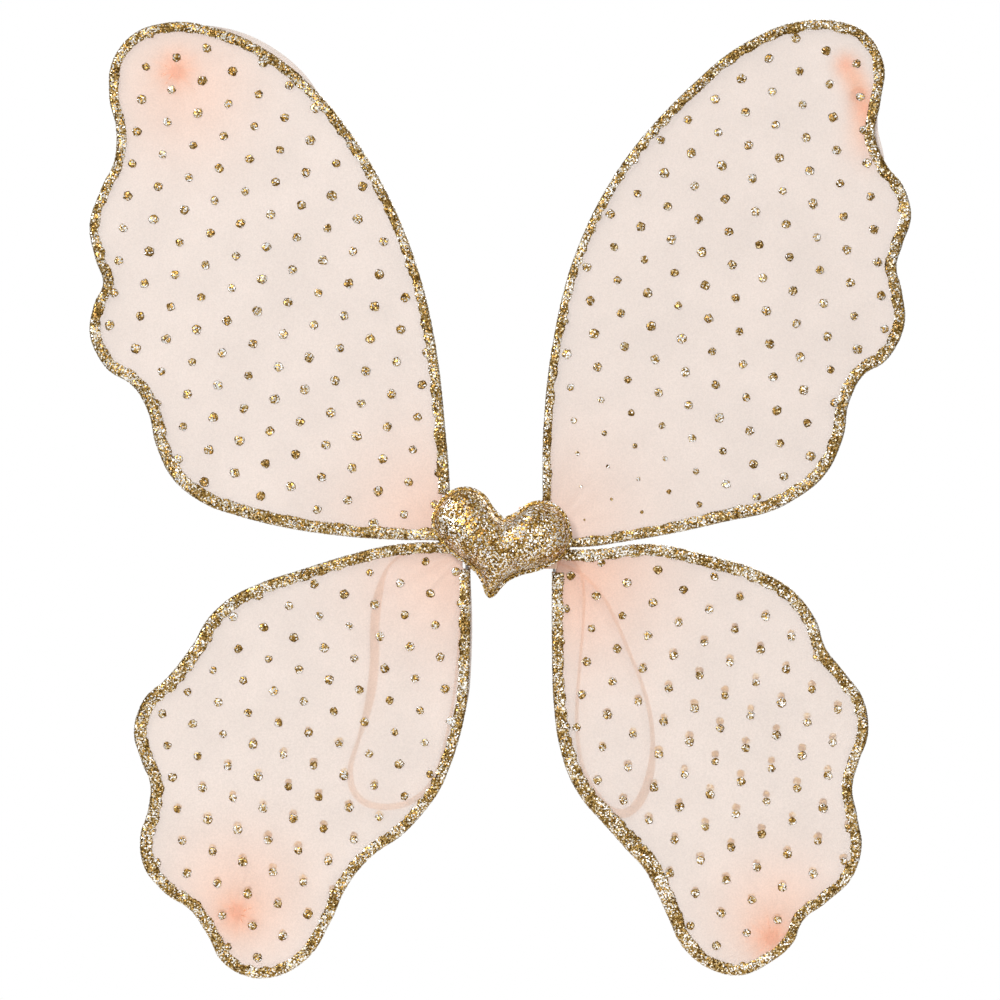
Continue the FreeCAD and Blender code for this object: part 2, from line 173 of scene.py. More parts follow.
def points_at(line: np.ndarray, at: np.ndarray) -> np.ndarray:
    """Points at the given distances along a line of straight pieces.

    Args:
        line: the line's corners, shape (n, d).
        at: distances along it, of any shape.

    Returns:
        The points, with one more axis than the distances.
    """
    far = way_along(line)
    return np.stack([np.interp(at, far, line[:, k]) for k in range(line.shape[1])], axis=-1)


def even_steps(line: np.ndarray, step: float) -> np.ndarray:
    """Points at equal distances along a line of straight pieces.

    Args:
        line: the line's corners, shape (n, d).
        step: the wanted spacing, in the line's own units.

    Returns:
        The spaced points, first and last corner included.
    """
    end = way_along(line)[-1]
    return points_at(line, np.linspace(0, end, max(2, round(end / step)) + 1))


def wobble(at: np.ndarray, waves: int, rng: np.random.Generator) -> np.ndarray:
    """A smooth random wave between about -1 and 1.

    The sum of eight cosines of the angle times whole numbers near the wanted count of waves, each with
    its own random start, divided by the square root of eight.

    Args:
        at: angles in radians.
        waves: about how many waves go round a full turn.
        rng: the source of random starts.

    Returns:
        The wave at each angle.
    """
    cosines = 8
    counts = rng.integers(max(1, waves // 2), waves * 3 // 2 + 2, cosines)
    starts = rng.uniform(0, 2 * np.pi, cosines)
    return np.cos(at[..., None] * counts + starts).sum(-1) / math.sqrt(cosines)


def shell(name: str, rings: np.ndarray, poles: np.ndarray | None = None) -> bpy.types.Object:
    """One mesh of closed skins, each a stack of rings with a pole at either end.

    Neighbouring rings are joined by four-sided faces and each end ring by triangles to its pole. If the
    skins enclose a negative volume, every face is turned round, so that they all point outwards.

    Args:
        name: the object's name.
        rings: points in metres, shape (skins, rings, points round, 3), or one skin without the first.
        poles: the two end points of each skin, shape (skins, 2, 3); the end rings' middles if left out.

    Returns:
        The object, smooth shaded, with a UV map of metres along and metres round.
    """
    rings = rings[None] if rings.ndim == 3 else rings
    copies, tall, around = rings.shape[:3]
    if poles is None:
        poles = np.stack([rings[:, 0].mean(1), rings[:, -1].mean(1)], axis=1)
    poles = poles.reshape(copies, 2, 3)
    each = tall * around + 2
    points = np.concatenate([rings.reshape(copies, -1, 3), poles], axis=1).reshape(-1, 3)

    row, col = np.meshgrid(np.arange(tall - 1), np.arange(around), indexing="ij")
    corner_rows = np.stack([row, row, row + 1, row + 1], axis=-1).reshape(-1, 4)
    corner_cols = np.stack([col, col + 1, col + 1, col], axis=-1).reshape(-1, 4)
    quads = corner_rows * around + corner_cols % around
    turn = np.arange(around)
    first = np.stack([np.full(around, each - 2), turn + 1, turn], axis=1)
    last = np.stack([np.full(around, each - 1), turn, turn + 1], axis=1)
    ends = np.concatenate([first, last])
    ends[:, 1:] %= around
    ends[around:, 1:] += (tall - 1) * around

    middles = rings[0].mean(1)
    along = way_along(middles)
    girth = np.linalg.norm(np.diff(rings[0], axis=1), axis=2).sum(1).mean()
    quad_uv = np.stack([along[corner_rows], corner_cols / around * girth], axis=-1)
    end_along = np.repeat([along[0], along[-1]], around)
    end_uv = np.stack([
        np.repeat(end_along[:, None], 3, axis=1),
        np.concatenate([first, last])[:, [1, 1, 2]] / around * girth,
    ], axis=-1)

    a, b, c, d = (points[quads[:, k]] for k in range(4))
    p, q, r = (points[ends[:, k]] for k in range(3))
    volume = (a * np.cross(b, c)).sum() + (a * np.cross(c, d)).sum() + (p * np.cross(q, r)).sum()
    if volume < 0:
        quads, quad_uv, ends, end_uv = quads[:, ::-1], quad_uv[:, ::-1], ends[:, ::-1], end_uv[:, ::-1]
    shift = (np.arange(copies) * each)[:, None, None]
    all_quads = (quads[None] + shift).reshape(-1, 4)
    all_ends = (ends[None] + shift).reshape(-1, 3)
    mesh = bpy.data.meshes.new(name)
    mesh.from_pydata(points.tolist(), [], all_quads.tolist() + all_ends.tolist())
    uv = np.concatenate([np.tile(part.reshape(-1, 2), (copies, 1)) for part in (quad_uv, end_uv)])
    mesh.uv_layers.new(name="UVMap").data.foreach_set("uv", uv.ravel().astype(np.float32))
    mesh.polygons.foreach_set("use_smooth", np.ones(len(mesh.polygons), bool))
    piece = bpy.data.objects.new(name, mesh)
    bpy.context.scene.collection.objects.link(piece)
    return piece


def tube_rings(path: np.ndarray, radius: float | np.ndarray, around: int = 8) -> np.ndarray:
    """Rings of a round tube along a path.

    Each ring lies across the path: its first direction is +y made square to the path's own direction,
    and its second is square to both. So the path never runs along y.

    Args:
        path: the middle line in metres, shape (..., n, 3).
        radius: the tube's radius in metres, one number or one for each point of the path.
        around: points round each ring.

    Returns:
        Points in metres, shape (..., n, around, 3).
    """
    ahead = np.gradient(path, axis=-2)
    ahead /= np.linalg.norm(ahead, axis=-1, keepdims=True)
    rearwards = np.array(REARWARDS)
    first = rearwards - ahead * (ahead @ rearwards)[..., None]
    first /= np.linalg.norm(first, axis=-1, keepdims=True)
    second = np.cross(ahead, first)
    turn = np.linspace(0, 2 * np.pi, around, endpoint=False)[:, None]
    spoke = np.cos(turn) * first[..., None, :] + np.sin(turn) * second[..., None, :]
    return path[..., None, :] + spoke * np.broadcast_to(radius, path.shape[:-1])[..., None, None]


def rim_of(node: str, count: int) -> np.ndarray:
    """The edge line of a CAD node's flat front face.

    The face's triangles are those whose corners all lie at the node's lowest y, and a side that only
    one of them has is on the edge. The edge's corners, put in order of their bearing from the middle of
    the node's box, make a closed line, which is then divided evenly.

    Args:
        node: a node whose front face can all be seen from the middle of its box.
        count: how many points to give.

    Returns:
        (x, z) points in metres, anticlockwise, shape (count, 2).
    """
    mesh = frame["nodes"][node].data
    mesh.calc_loop_triangles()
    places = np.zeros(len(mesh.vertices) * 3, np.float32)
    mesh.vertices.foreach_get("co", places)
    corners = np.zeros(len(mesh.loop_triangles) * 3, np.int32)
    mesh.loop_triangles.foreach_get("vertices", corners)
    unique, merged = np.unique(np.round(places.reshape(-1, 3), 6), axis=0, return_inverse=True)
    faces = merged.reshape(-1)[corners].reshape(-1, 3)
    flat = 0.02 * MM
    front = faces[(unique[faces][:, :, 1] < unique[:, 1].min() + flat).all(axis=1)]
    sides = np.sort(np.concatenate([front[:, [0, 1]], front[:, [1, 2]], front[:, [2, 0]]]), axis=1)
    pairs, uses = np.unique(sides, axis=0, return_counts=True)
    edge = unique[np.unique(pairs[uses == 1])][:, [0, 2]]
    low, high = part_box(node)
    middle = np.array([low.x + high.x, low.z + high.z]) / 2
    edge = edge[np.argsort(np.arctan2(*(edge - middle).T[::-1]))]
    loop = np.concatenate([edge, edge[:1]])
    length = np.linalg.norm(np.diff(loop, axis=0), axis=1).sum()
    return even_steps(loop, length / count)[:-1]


def inward_normals(line: np.ndarray, closed: bool = True) -> np.ndarray:
    """Unit vectors to the left of an anticlockwise line's own direction, which is its inside.

    Args:
        line: (x, z) points, shape (n, 2).
        closed: whether the last point is followed by the first.

    Returns:
        The normals, shape (n, 2).
    """
    if closed:
        ahead = np.roll(line, -2, axis=0) - np.roll(line, 2, axis=0)
    else:
        ahead = np.gradient(line, axis=0)
    ahead = ahead / np.linalg.norm(ahead, axis=1, keepdims=True)
    return np.stack([-ahead[:, 1], ahead[:, 0]], axis=1)


def in_space(plan: np.ndarray, y: float | np.ndarray) -> np.ndarray:
    """(x, z) points given a depth y, as (x, y, z)."""
    return np.stack([plan[..., 0], np.broadcast_to(y, plan.shape[:-1]), plan[..., 1]], axis=-1)


def mark_gather_and_shade(piece: bpy.types.Object, gather_and_shade: np.ndarray) -> None:
    """Stores how gathered the nylon is at each of a piece's points, painted shade included, for its finish to
    read.
    """
    mark = piece.data.attributes.new("gathered", "FLOAT", "POINT")
    mark.data.foreach_set("value", gather_and_shade.astype(np.float32))


def dress(piece: bpy.types.Object, finish: "Finish", body: str | None) -> bpy.types.Object:
    """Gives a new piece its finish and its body.

    Args:
        piece: the piece.
        finish: what it is made of.
        body: the body that it rides on, or None, which leaves it on no body.

    Returns:
        The same piece.
    """
    piece.data.materials.append(finish.material())
    if body:
        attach(piece, body)
    log.info("%s: %d points, %s", piece.name, len(piece.data.vertices), finish.name)
    return piece


def redress(node: str, finish: "Finish") -> None:
    """Gives a CAD node that stays in view its finish."""
    data = frame["nodes"][node].data
    data.materials.clear()
    data.materials.append(finish.material())
    log.info("%s: kept, %s", node, finish.name)


# Finishes


@dataclass(frozen=True)
class Finish:
    """What every finish shares: its material's name, and that the material is made once."""

    name: str

    def material(self) -> bpy.types.Material:
        """The finish's material."""
        found = bpy.data.materials.get(self.name)
        if found:
            return found
        made = bpy.data.materials.new(self.name)
        made.use_nodes = True
        made.node_tree.nodes.clear()
        surface = self.surface(made.node_tree)
        add_node(made.node_tree, "OutputMaterial", {"Surface": surface})
        return made

    def surface(self, tree: bpy.types.NodeTree) -> bpy.types.NodeSocket:
        """The shader's output socket, which each finish makes in its own way."""
        raise NotImplementedError


@dataclass(frozen=True)
class SheerNylon(Finish):
    """Sheer nylon stocking knit, stretched: pale blush, denser and more orange where it is gathered; the
    deeper colour there is partly the nylon's own and partly painted shade.
    """

    body: str = "#E7D9D0"
    # gathered and bunched colours: partly the denser nylon's own, partly painted shade of the gathers
    gathered: str = "#F5C8AE"
    bunched: str = "#FBB48F"
    solid: float = 0.56       # share of the light that one stretched ply stops
    solid_gathered: float = 0.93
    grain: float = 0.7        # millimetres; the real knit of 0.2 is too fine to show
    grain_tone: float = 0.04  # how much paler or darker a grain is, as a share
    mottle: float = 22.0      # millimetres between paler and darker clouds
    mottle_tone: float = 0.03
    glow: float = 0.35        # share of the scattered light that comes through

    def surface(self, tree: bpy.types.NodeTree) -> bpy.types.NodeSocket:
        """Soft cloth that scatters light both ways, mixed with clear gaps between its threads."""
        # How gathered the nylon is, with painted shade in the same number
        gather_and_shade = add_node(tree, "Attribute", attribute_name="gathered").outputs["Fac"]
        place = add_node(tree, "TexCoord").outputs["Object"]
        grain = add_node(tree, "TexNoise", {"Vector": place, "Scale": 1 / (self.grain * MM), "Detail": 3.0})
        mottle = add_node(tree, "TexNoise", {"Vector": place, "Scale": 1 / (self.mottle * MM), "Detail": 2.0})
        dye = add_node(tree, "ValToRGB", {"Fac": gather_and_shade},
                       [(0.0, self.body), (0.5, self.gathered), (1.0, self.bunched)])
        shade = add_node(tree, "MapRange", {
            "Value": grain.outputs["Fac"], 1: NOISE_LOW, 2: NOISE_HIGH,
            3: 1 - self.grain_tone, 4: 1 + self.grain_tone,
        })
        cloud = add_node(tree, "MapRange", {
            "Value": mottle.outputs["Fac"], 1: NOISE_LOW, 2: NOISE_HIGH,
            3: 1 - self.mottle_tone, 4: 1 + self.mottle_tone,
        })
        both = add_node(tree, "Math", {0: shade.outputs[0], 1: cloud.outputs[0]}, operation="MULTIPLY")
        colour = add_node(tree, "VectorMath", {0: dye.outputs["Color"], "Scale": both.outputs[0]},
                          operation="SCALE")
        cover = add_node(tree, "MapRange", {"Value": gather_and_shade, 3: self.solid, 4: self.solid_gathered})
        gaps = add_node(tree, "Math", {0: cover.outputs[0], 1: shade.outputs[0]},
                        operation="MULTIPLY", use_clamp=True)
        knit = add_node(tree, "Bump", {"Height": grain.outputs["Fac"], "Strength": 0.25,
                                       "Distance": 0.15 * MM})
        cloth = add_node(tree, "BsdfPrincipled", {
            "Base Color": colour.outputs[0], "Roughness": 0.75, "Normal": knit.outputs[0],
            "Sheen Weight": 0.12, "Specular IOR Level": 0.25,
        })
        glow = add_node(tree, "BsdfTranslucent", {"Color": colour.outputs[0], "Normal": knit.outputs[0]})
        soft = add_node(tree, "MixShader", {0: self.glow, 1: cloth.outputs[0], 2: glow.outputs[0]})
        clear = add_node(tree, "BsdfTransparent")
        sheer = add_node(tree, "MixShader", {0: gaps.outputs[0], 1: clear.outputs[0], 2: soft.outputs[0]})
        return sheer.outputs[0]


@dataclass(frozen=True)
class Glitter(Finish):
    """Polyester glitter flakes set in clear glue: each flake is a tiny foil mirror at its own tilt; whole
    stretches are painted paler or darker as painted reflection.
    """

    foil: tuple[tuple[float, str], ...]
    flake: float              # millimetres across, drawn a little coarser than the real ones so as to show
    tilt: float               # how far a flake leans, as a share of the normal
    metal: float = 0.7
    painted_glint_drift: float = 0.22       # painted reflection: how much paler or darker whole stretches are, as a share of the colours
    stretch: float = 9.0      # millimetres from one stretch of painted reflection to the next
    shine: Pair = (0.16, 0.42)   # roughness of the brightest and of the dullest flakes

    def surface(self, tree: bpy.types.NodeTree) -> bpy.types.NodeSocket:
        """Each cell of a cell pattern is one flake with its own colour, shine and lean; a wide noise paints
        whole stretches paler or darker as painted reflection.
        """
        place = add_node(tree, "TexCoord").outputs["Object"]
        cell = add_node(tree, "TexVoronoi", {"Vector": place, "Scale": 1 / (self.flake * MM)}, feature="F1")
        pick = add_node(tree, "SeparateColor", {"Color": cell.outputs["Color"]})
        # Painted reflection: a wide noise moves whole stretches of flakes paler or darker
        wide = add_node(tree, "TexNoise", {"Vector": place, "Scale": 1 / (self.stretch * MM), "Detail": 1.0})
        shift = add_node(tree, "MapRange", {"Value": wide.outputs["Fac"], 1: NOISE_LOW, 2: NOISE_HIGH,
                                            3: -self.painted_glint_drift, 4: self.painted_glint_drift})
        which = add_node(tree, "Math", {0: pick.outputs[0], 1: shift.outputs[0]},
                         operation="ADD", use_clamp=True)
        foil = add_node(tree, "ValToRGB", {"Fac": which.outputs[0]}, self.foil)
        foil.color_ramp.interpolation = "CONSTANT"
        lean = add_node(tree, "VectorMath", {0: cell.outputs["Color"], 1: (0.5, 0.5, 0.5)},
                        operation="SUBTRACT")
        more = add_node(tree, "VectorMath", {0: lean.outputs[0], "Scale": self.tilt}, operation="SCALE")
        normal = add_node(tree, "NewGeometry").outputs["Normal"]
        tipped = add_node(tree, "VectorMath", {0: normal, 1: more.outputs[0]}, operation="ADD")
        facing = add_node(tree, "VectorMath", {0: tipped.outputs[0]}, operation="NORMALIZE")
        shine = add_node(tree, "MapRange", {"Value": pick.outputs[1], 3: self.shine[0], 4: self.shine[1]})
        return add_node(tree, "BsdfPrincipled", {
            "Base Color": foil.outputs["Color"], "Metallic": self.metal, "Roughness": shine.outputs[0],
            "Normal": facing.outputs[0],
        }).outputs[0]


@dataclass(frozen=True)
class WovenBand(Finish):
    """Woven tape or elastic: ribs across the band and fine yarns along it."""

    yarn: str
    # the colour where the weave dips: painted shade in the hollows
    hollow: str
    rib: float                # millimetres from rib to rib
    strand: float             # millimetres from yarn to yarn, drawn coarse enough to show

    def surface(self, tree: bpy.types.NodeTree) -> bpy.types.NodeSocket:
        """Two rows of soft waves, along the band's length and round it, with a little fluff; the dips take
        the hollow colour as painted shade.
        """
        place = add_node(tree, "TexCoord").outputs["UV"]
        split = add_node(tree, "SeparateXYZ", {0: place})
        rib, strand = 2 * math.pi / (self.rib * MM), 2 * math.pi / (self.strand * MM)
        across = add_node(tree, "Math", {0: split.outputs[0], 1: rib}, operation="MULTIPLY")
        along = add_node(tree, "Math", {0: split.outputs[1], 1: strand}, operation="MULTIPLY")
        ribs = add_node(tree, "Math", {0: across.outputs[0]}, operation="SINE")
        strands = add_node(tree, "Math", {0: along.outputs[0]}, operation="SINE")
        weave = add_node(tree, "Math", {0: ribs.outputs[0], 1: strands.outputs[0]}, operation="ADD")
        level = add_node(tree, "MapRange", {"Value": weave.outputs[0], 1: -2.0, 2: 2.0})
        # Painted shade: darker where the weave dips
        colour = add_node(tree, "ValToRGB", {"Fac": level.outputs[0]}, [(0.1, self.hollow), (0.8, self.yarn)])
        relief = add_node(tree, "Bump", {"Height": level.outputs[0], "Strength": 0.6, "Distance": 0.25 * MM})
        return add_node(tree, "BsdfPrincipled", {
            "Base Color": colour.outputs["Color"], "Roughness": 0.8, "Normal": relief.outputs[0],
            "Sheen Weight": 0.25,
        }).outputs[0]


@dataclass(frozen=True)
class FibreCloth(Finish):
    """A surface with no clear weave: felt, foam, twill tape, card or paint, by how coarse it is."""

    light: str
    dark: str
    fibre: float              # millimetres between tufts or pores
    rough: float = 0.9
    relief: float = 0.2       # millimetres

    def surface(self, tree: bpy.types.NodeTree) -> bpy.types.NodeSocket:
        """A fine cloudy pattern laid over one nine times as coarse, in colour and in height."""
        place = add_node(tree, "TexCoord").outputs["Object"]
        fine = add_node(tree, "TexNoise", {"Vector": place, "Scale": 1 / (self.fibre * MM), "Detail": 6.0,
                                           "Roughness": 0.7, "Distortion": 1.2})
        wide = add_node(tree, "TexNoise", {"Vector": place, "Scale": 1 / (9 * self.fibre * MM),
                                           "Detail": 2.0})
        both = add_node(tree, "Math", {0: fine.outputs["Fac"], 1: wide.outputs["Fac"]}, operation="ADD")
        level = add_node(tree, "MapRange", {"Value": both.outputs[0], 1: 2 * NOISE_LOW, 2: 2 * NOISE_HIGH})
        colour = add_node(tree, "ValToRGB", {"Fac": level.outputs[0]},
                          [(0.15, self.dark), (0.85, self.light)])
        relief = add_node(tree, "Bump", {"Height": level.outputs[0], "Strength": 0.7,
                                         "Distance": self.relief * MM})
        return add_node(tree, "BsdfPrincipled", {
            "Base Color": colour.outputs["Color"], "Roughness": self.rough, "Normal": relief.outputs[0],
            "Sheen Weight": 0.3,
        }).outputs[0]


@dataclass(frozen=True)
class DrawnMetal(Finish):
    """Drawn wire or pressed tube: bright metal with faint lines and handling marks."""

    metal: str
    worn: str
    line: float = 0.35        # millimetres between draw marks, drawn coarse enough to show
    polish: Pair = (0.22, 0.42)   # roughness of the brightest and of the most rubbed spots

    def surface(self, tree: bpy.types.NodeTree) -> bpy.types.NodeSocket:
        """Bare metal whose colour and roughness drift over small scuffs."""
        place = add_node(tree, "TexCoord").outputs["Object"]
        marks = add_node(tree, "TexNoise", {"Vector": place, "Scale": 1 / (self.line * MM), "Detail": 4.0})
        tone = add_node(tree, "ValToRGB", {"Fac": marks.outputs["Fac"]},
                        [(0.35, self.worn), (0.6, self.metal)])
        rough = add_node(tree, "MapRange", {"Value": marks.outputs["Fac"], 1: NOISE_LOW, 2: NOISE_HIGH,
                                            3: self.polish[0], 4: self.polish[1]})
        relief = add_node(tree, "Bump", {"Height": marks.outputs["Fac"], "Strength": 0.2,
                                         "Distance": 0.05 * MM})
        return add_node(tree, "BsdfPrincipled", {
            "Base Color": tone.outputs["Color"], "Metallic": 1.0, "Roughness": rough.outputs[0],
            "Normal": relief.outputs[0],
        }).outputs[0]


@dataclass(frozen=True)
class MetallicThread(Finish):
    """Gold lurex thread: foil strip wound round a core; its slanting bright and dark bands are painted glints
    and painted shade.
    """

    painted_glint: str = "#F6D27A"
    shadow: str = "#A87420"
    lay: float = 0.9          # millimetres from one wind to the next

    def surface(self, tree: bpy.types.NodeTree) -> bpy.types.NodeSocket:
        """Slanting bands of painted glint and shade: a sine of the way along plus the way round."""
        place = add_node(tree, "TexCoord").outputs["UV"]
        split = add_node(tree, "SeparateXYZ", {0: place})
        slant = add_node(tree, "Math", {0: split.outputs[0], 1: split.outputs[1]}, operation="ADD")
        lay = 2 * math.pi / (self.lay * MM)
        turns = add_node(tree, "Math", {0: slant.outputs[0], 1: lay}, operation="MULTIPLY")
        wind = add_node(tree, "Math", {0: turns.outputs[0]}, operation="SINE")
        level = add_node(tree, "MapRange", {"Value": wind.outputs[0], 1: -1.0, 2: 1.0})
        # Painted glints and shade: bands of the two colours round the thread
        colour = add_node(tree, "ValToRGB", {"Fac": level.outputs[0]},
                          [(0.1, self.shadow), (0.7, self.painted_glint)])
        relief = add_node(tree, "Bump", {"Height": level.outputs[0], "Strength": 0.5, "Distance": 0.1 * MM})
        return add_node(tree, "BsdfPrincipled", {
            "Base Color": colour.outputs["Color"], "Metallic": 0.6, "Roughness": 0.38,
            "Normal": relief.outputs[0],
        }).outputs[0]


# Sheer nylon stocking: a faint knit grain, light through it, orange where it bunches
NYLON = SheerNylon("sheer_nylon_knit")
# The same nylon gathered and cut: nearly solid and deeper in colour than the wing, yet lifted pale: painted
# light that offsets the shade inside the frill
NYLON_GATHERED = SheerNylon("gathered_nylon_knit", body="#FFDCC6", gathered="#FFC9A8",
                            solid=0.4, solid_gathered=0.65)
# Loose folds of the nylon seen through its own front ply: clear between them, their deeper colour partly
# painted shade
NYLON_FOLDS = SheerNylon("folded_nylon_knit", body="#FBD2B8", gathered="#FFC09A", bunched="#FFAA80",
                         solid=0.0)
# Polyester glitter printed on nylon: white, champagne, gold and bronze flakes that glint one by one
GLITTER_PRINT = Glitter(
    "polyester_glitter_print",
    ((0.0, "#543A08"), (0.16, "#7A5920"), (0.38, "#9C7B38"), (0.56, "#C2A162"), (0.72, "#EADAB8"),
     (0.82, "#FFFDF8")), 0.62, 0.8)
# The same glitter printed in dots, a little warmer and with slightly smaller flakes
GLITTER_DOTS = Glitter(
    "polyester_glitter_dots",
    ((0.0, "#624414"), (0.16, "#8F6A26"), (0.38, "#B58E48"), (0.58, "#DDC696"), (0.76, "#FFFFFF")),
    0.6, 0.8)
# The same glitter on the rear ply, whose flakes stand face down in the print, so they look flat; its colours
# are set paler and yellower, painted light that offsets the shade between the plies
GLITTER_REAR = Glitter(
    "polyester_glitter_reverse",
    ((0.0, "#A87424"), (0.3, "#D09C40"), (0.6, "#EDC26A"), (0.85, "#FFF1D0")), 0.8, 0.3, metal=0.0)
# Chunky glitter cloth: flakes that lie flatter than the printed ones, in yellower gold with white glints
GLITTER_CLOTH = Glitter(
    "chunky_glitter_cloth",
    ((0.0, "#5E3E0C"), (0.16, "#86621F"), (0.38, "#AA823A"), (0.57, "#CFAF6C"), (0.72, "#F4E9D2"),
     (0.81, "#FFFFFF")), 0.62, 0.6, metal=0.75, painted_glint_drift=0.14)
# Flat woven elastic: soft peach with close ribs, set as pale as the peach goes: painted light that offsets
# the shade behind the nylon plies
ELASTIC = WovenBand("woven_peach_elastic", "#FFE2C8", "#FFC8A0", 0.9, 0.55)
# Cotton twill tape: unbleached, matt, with a faint fuzz
TWILL = FibreCloth("cotton_twill_tape", "#F8DFCD", "#E3C0A6", 0.5)
# Wool and viscose felt: matted short fibres, no weave
FELT = FibreCloth("pressed_felt", "#F6E7DC", "#E6CDBC", 0.35, relief=0.25)
# Closed-cell foam: fine pores, slightly shiny skin
FOAM = FibreCloth("closed_cell_foam", "#F4F1EB", "#DDD8CE", 0.6, rough=0.6, relief=0.15)
# Grey board: pressed paper fibres
CARD = FibreCloth("pressed_card", "#E2C9A6", "#C4A47A", 0.8, rough=0.85, relief=0.1)
# Spring steel wire, drawn bright: a grey mirror with faint lines
STEEL = DrawnMetal("drawn_steel_wire", "#C9CACB", "#8E9092")
# Pressed aluminium tube: paler than the steel, with soft scuffs
ALUMINIUM = DrawnMetal("pressed_aluminium", "#D9DADC", "#A7A9AC", 0.5)
# Gold metallic sewing thread: slanting painted glints along each stitch
THREAD = MetallicThread("gold_metallic_thread")
# Matt floor paint: nearly white, with faint clouds
FLOOR_PAINT = FibreCloth("painted_floor", "#F4F3F1", "#ECEAE7", 4.0, relief=0.05)


# Stitches


@dataclass(frozen=True)
class RunningStitch:
    """A row of thread stitches laid along a line on a surface that faces -y or +y."""

    length: float = 2.3
    gap: float = 0.5
    radius: float = 0.3
    rise: float = 0.18        # how far each stitch's middle stands above its ends
    outward: int = -1         # the way along y that the cloth faces
    stations: int = 9         # rings along each stitch

    def rings(self, line: np.ndarray) -> np.ndarray:
        """Rings of every stitch.

        A stitch's middle line is a piece of the given line, lifted by a half sine, and its radius
        grows from a third at its ends by the same half sine's fourth root.

        Args:
            line: (x, y, z) points of the seam in metres, close together.

        Returns:
            Points in metres, shape (stitches, stations, 8, 3).
        """
        end = way_along(line)[-1]
        count = int(end / ((self.length + self.gap) * MM))
        starts = (np.arange(count) + 0.5) * end / count - self.length * MM / 2
        part = np.linspace(0, 1, self.stations)
        path = points_at(line, starts[:, None] + part * self.length * MM)
        arch = np.sin(np.pi * part)
        path[..., 1] += self.outward * self.rise * MM * arch
        return tube_rings(path, self.radius * MM * (0.33 + 0.67 * arch ** 0.25))


# Wings


@dataclass(frozen=True)
class Pull:
    """A place where the nylon is drawn together, so that it creases and deepens in colour, partly with
    painted shade.
    """

    x: float
    z: float
    reach: float              # how far the colour spreads
    level: float              # how deep the colour is, up to 1
    creases: int = 14
    height: float = 0.25      # of the creases
    folds: float = 0.0        # how far folds run out inside the pocket
    depth_of_folds: float = 1.0

    def away(self, plan: np.ndarray) -> tuple[np.ndarray, np.ndarray]:
        """Distance in millimetres and bearing of (x, z) points in metres from the pull."""
        dx, dz = plan[..., 0] / MM - self.x, plan[..., 1] / MM - self.z
        return np.hypot(dx, dz), np.arctan2(dz, dx)

    def colour(self, plan: np.ndarray) -> np.ndarray:
        """How gathered the nylon looks, partly painted shade: the level, falling off as a bell round the
        pull.
        """
        far, _ = self.away(plan)
        return self.level * np.exp(-(far / self.reach) ** 2)

    def crease(self, plan: np.ndarray) -> np.ndarray:
        """Creases in metres: spokes that are a sine of the bearing and die away with distance."""
        far, bearing = self.away(plan)
        spokes = np.sin(self.creases * bearing + 0.07 * far) + 0.5 * np.sin(1.7 * self.creases * bearing + 2)
        return self.height * MM * spokes * np.exp(-far / (0.7 * self.reach)) * np.tanh(far / 5)


@dataclass(frozen=True)
class DotGrid:
    """A slanting grid of glitter dots: one dot's place and the two steps to its neighbours."""

    anchor: Pair
    step_a: Pair
    step_b: Pair
    radius: float = 2.35
    rear: tuple[float, ...] = ()       # where the rear ply's dots part from these: x, z, reach and rise
    fade: tuple[float, ...] = ()       # where dots shrink to specks: x, z and reach
    steps: int = 24                    # enough steps each way to cover a wing

    def centres(self) -> np.ndarray:
        """Every grid point within that many steps of the anchor, in metres, shape (n, 2)."""
        count = np.arange(-self.steps, self.steps + 1)
        a, b = np.meshgrid(count, count, indexing="ij")
        step_a, step_b = np.array(self.step_a), np.array(self.step_b)
        plan = np.array(self.anchor) + a[..., None] * step_a + b[..., None] * step_b
        return plan.reshape(-1, 2) * MM


@dataclass(frozen=True)
class Fringe:
    """A sliver of the rear ply that shows past the wing's edge between two bearings from its middle."""

    start: float              # degrees
    end: float
    reach: float              # millimetres past the edge


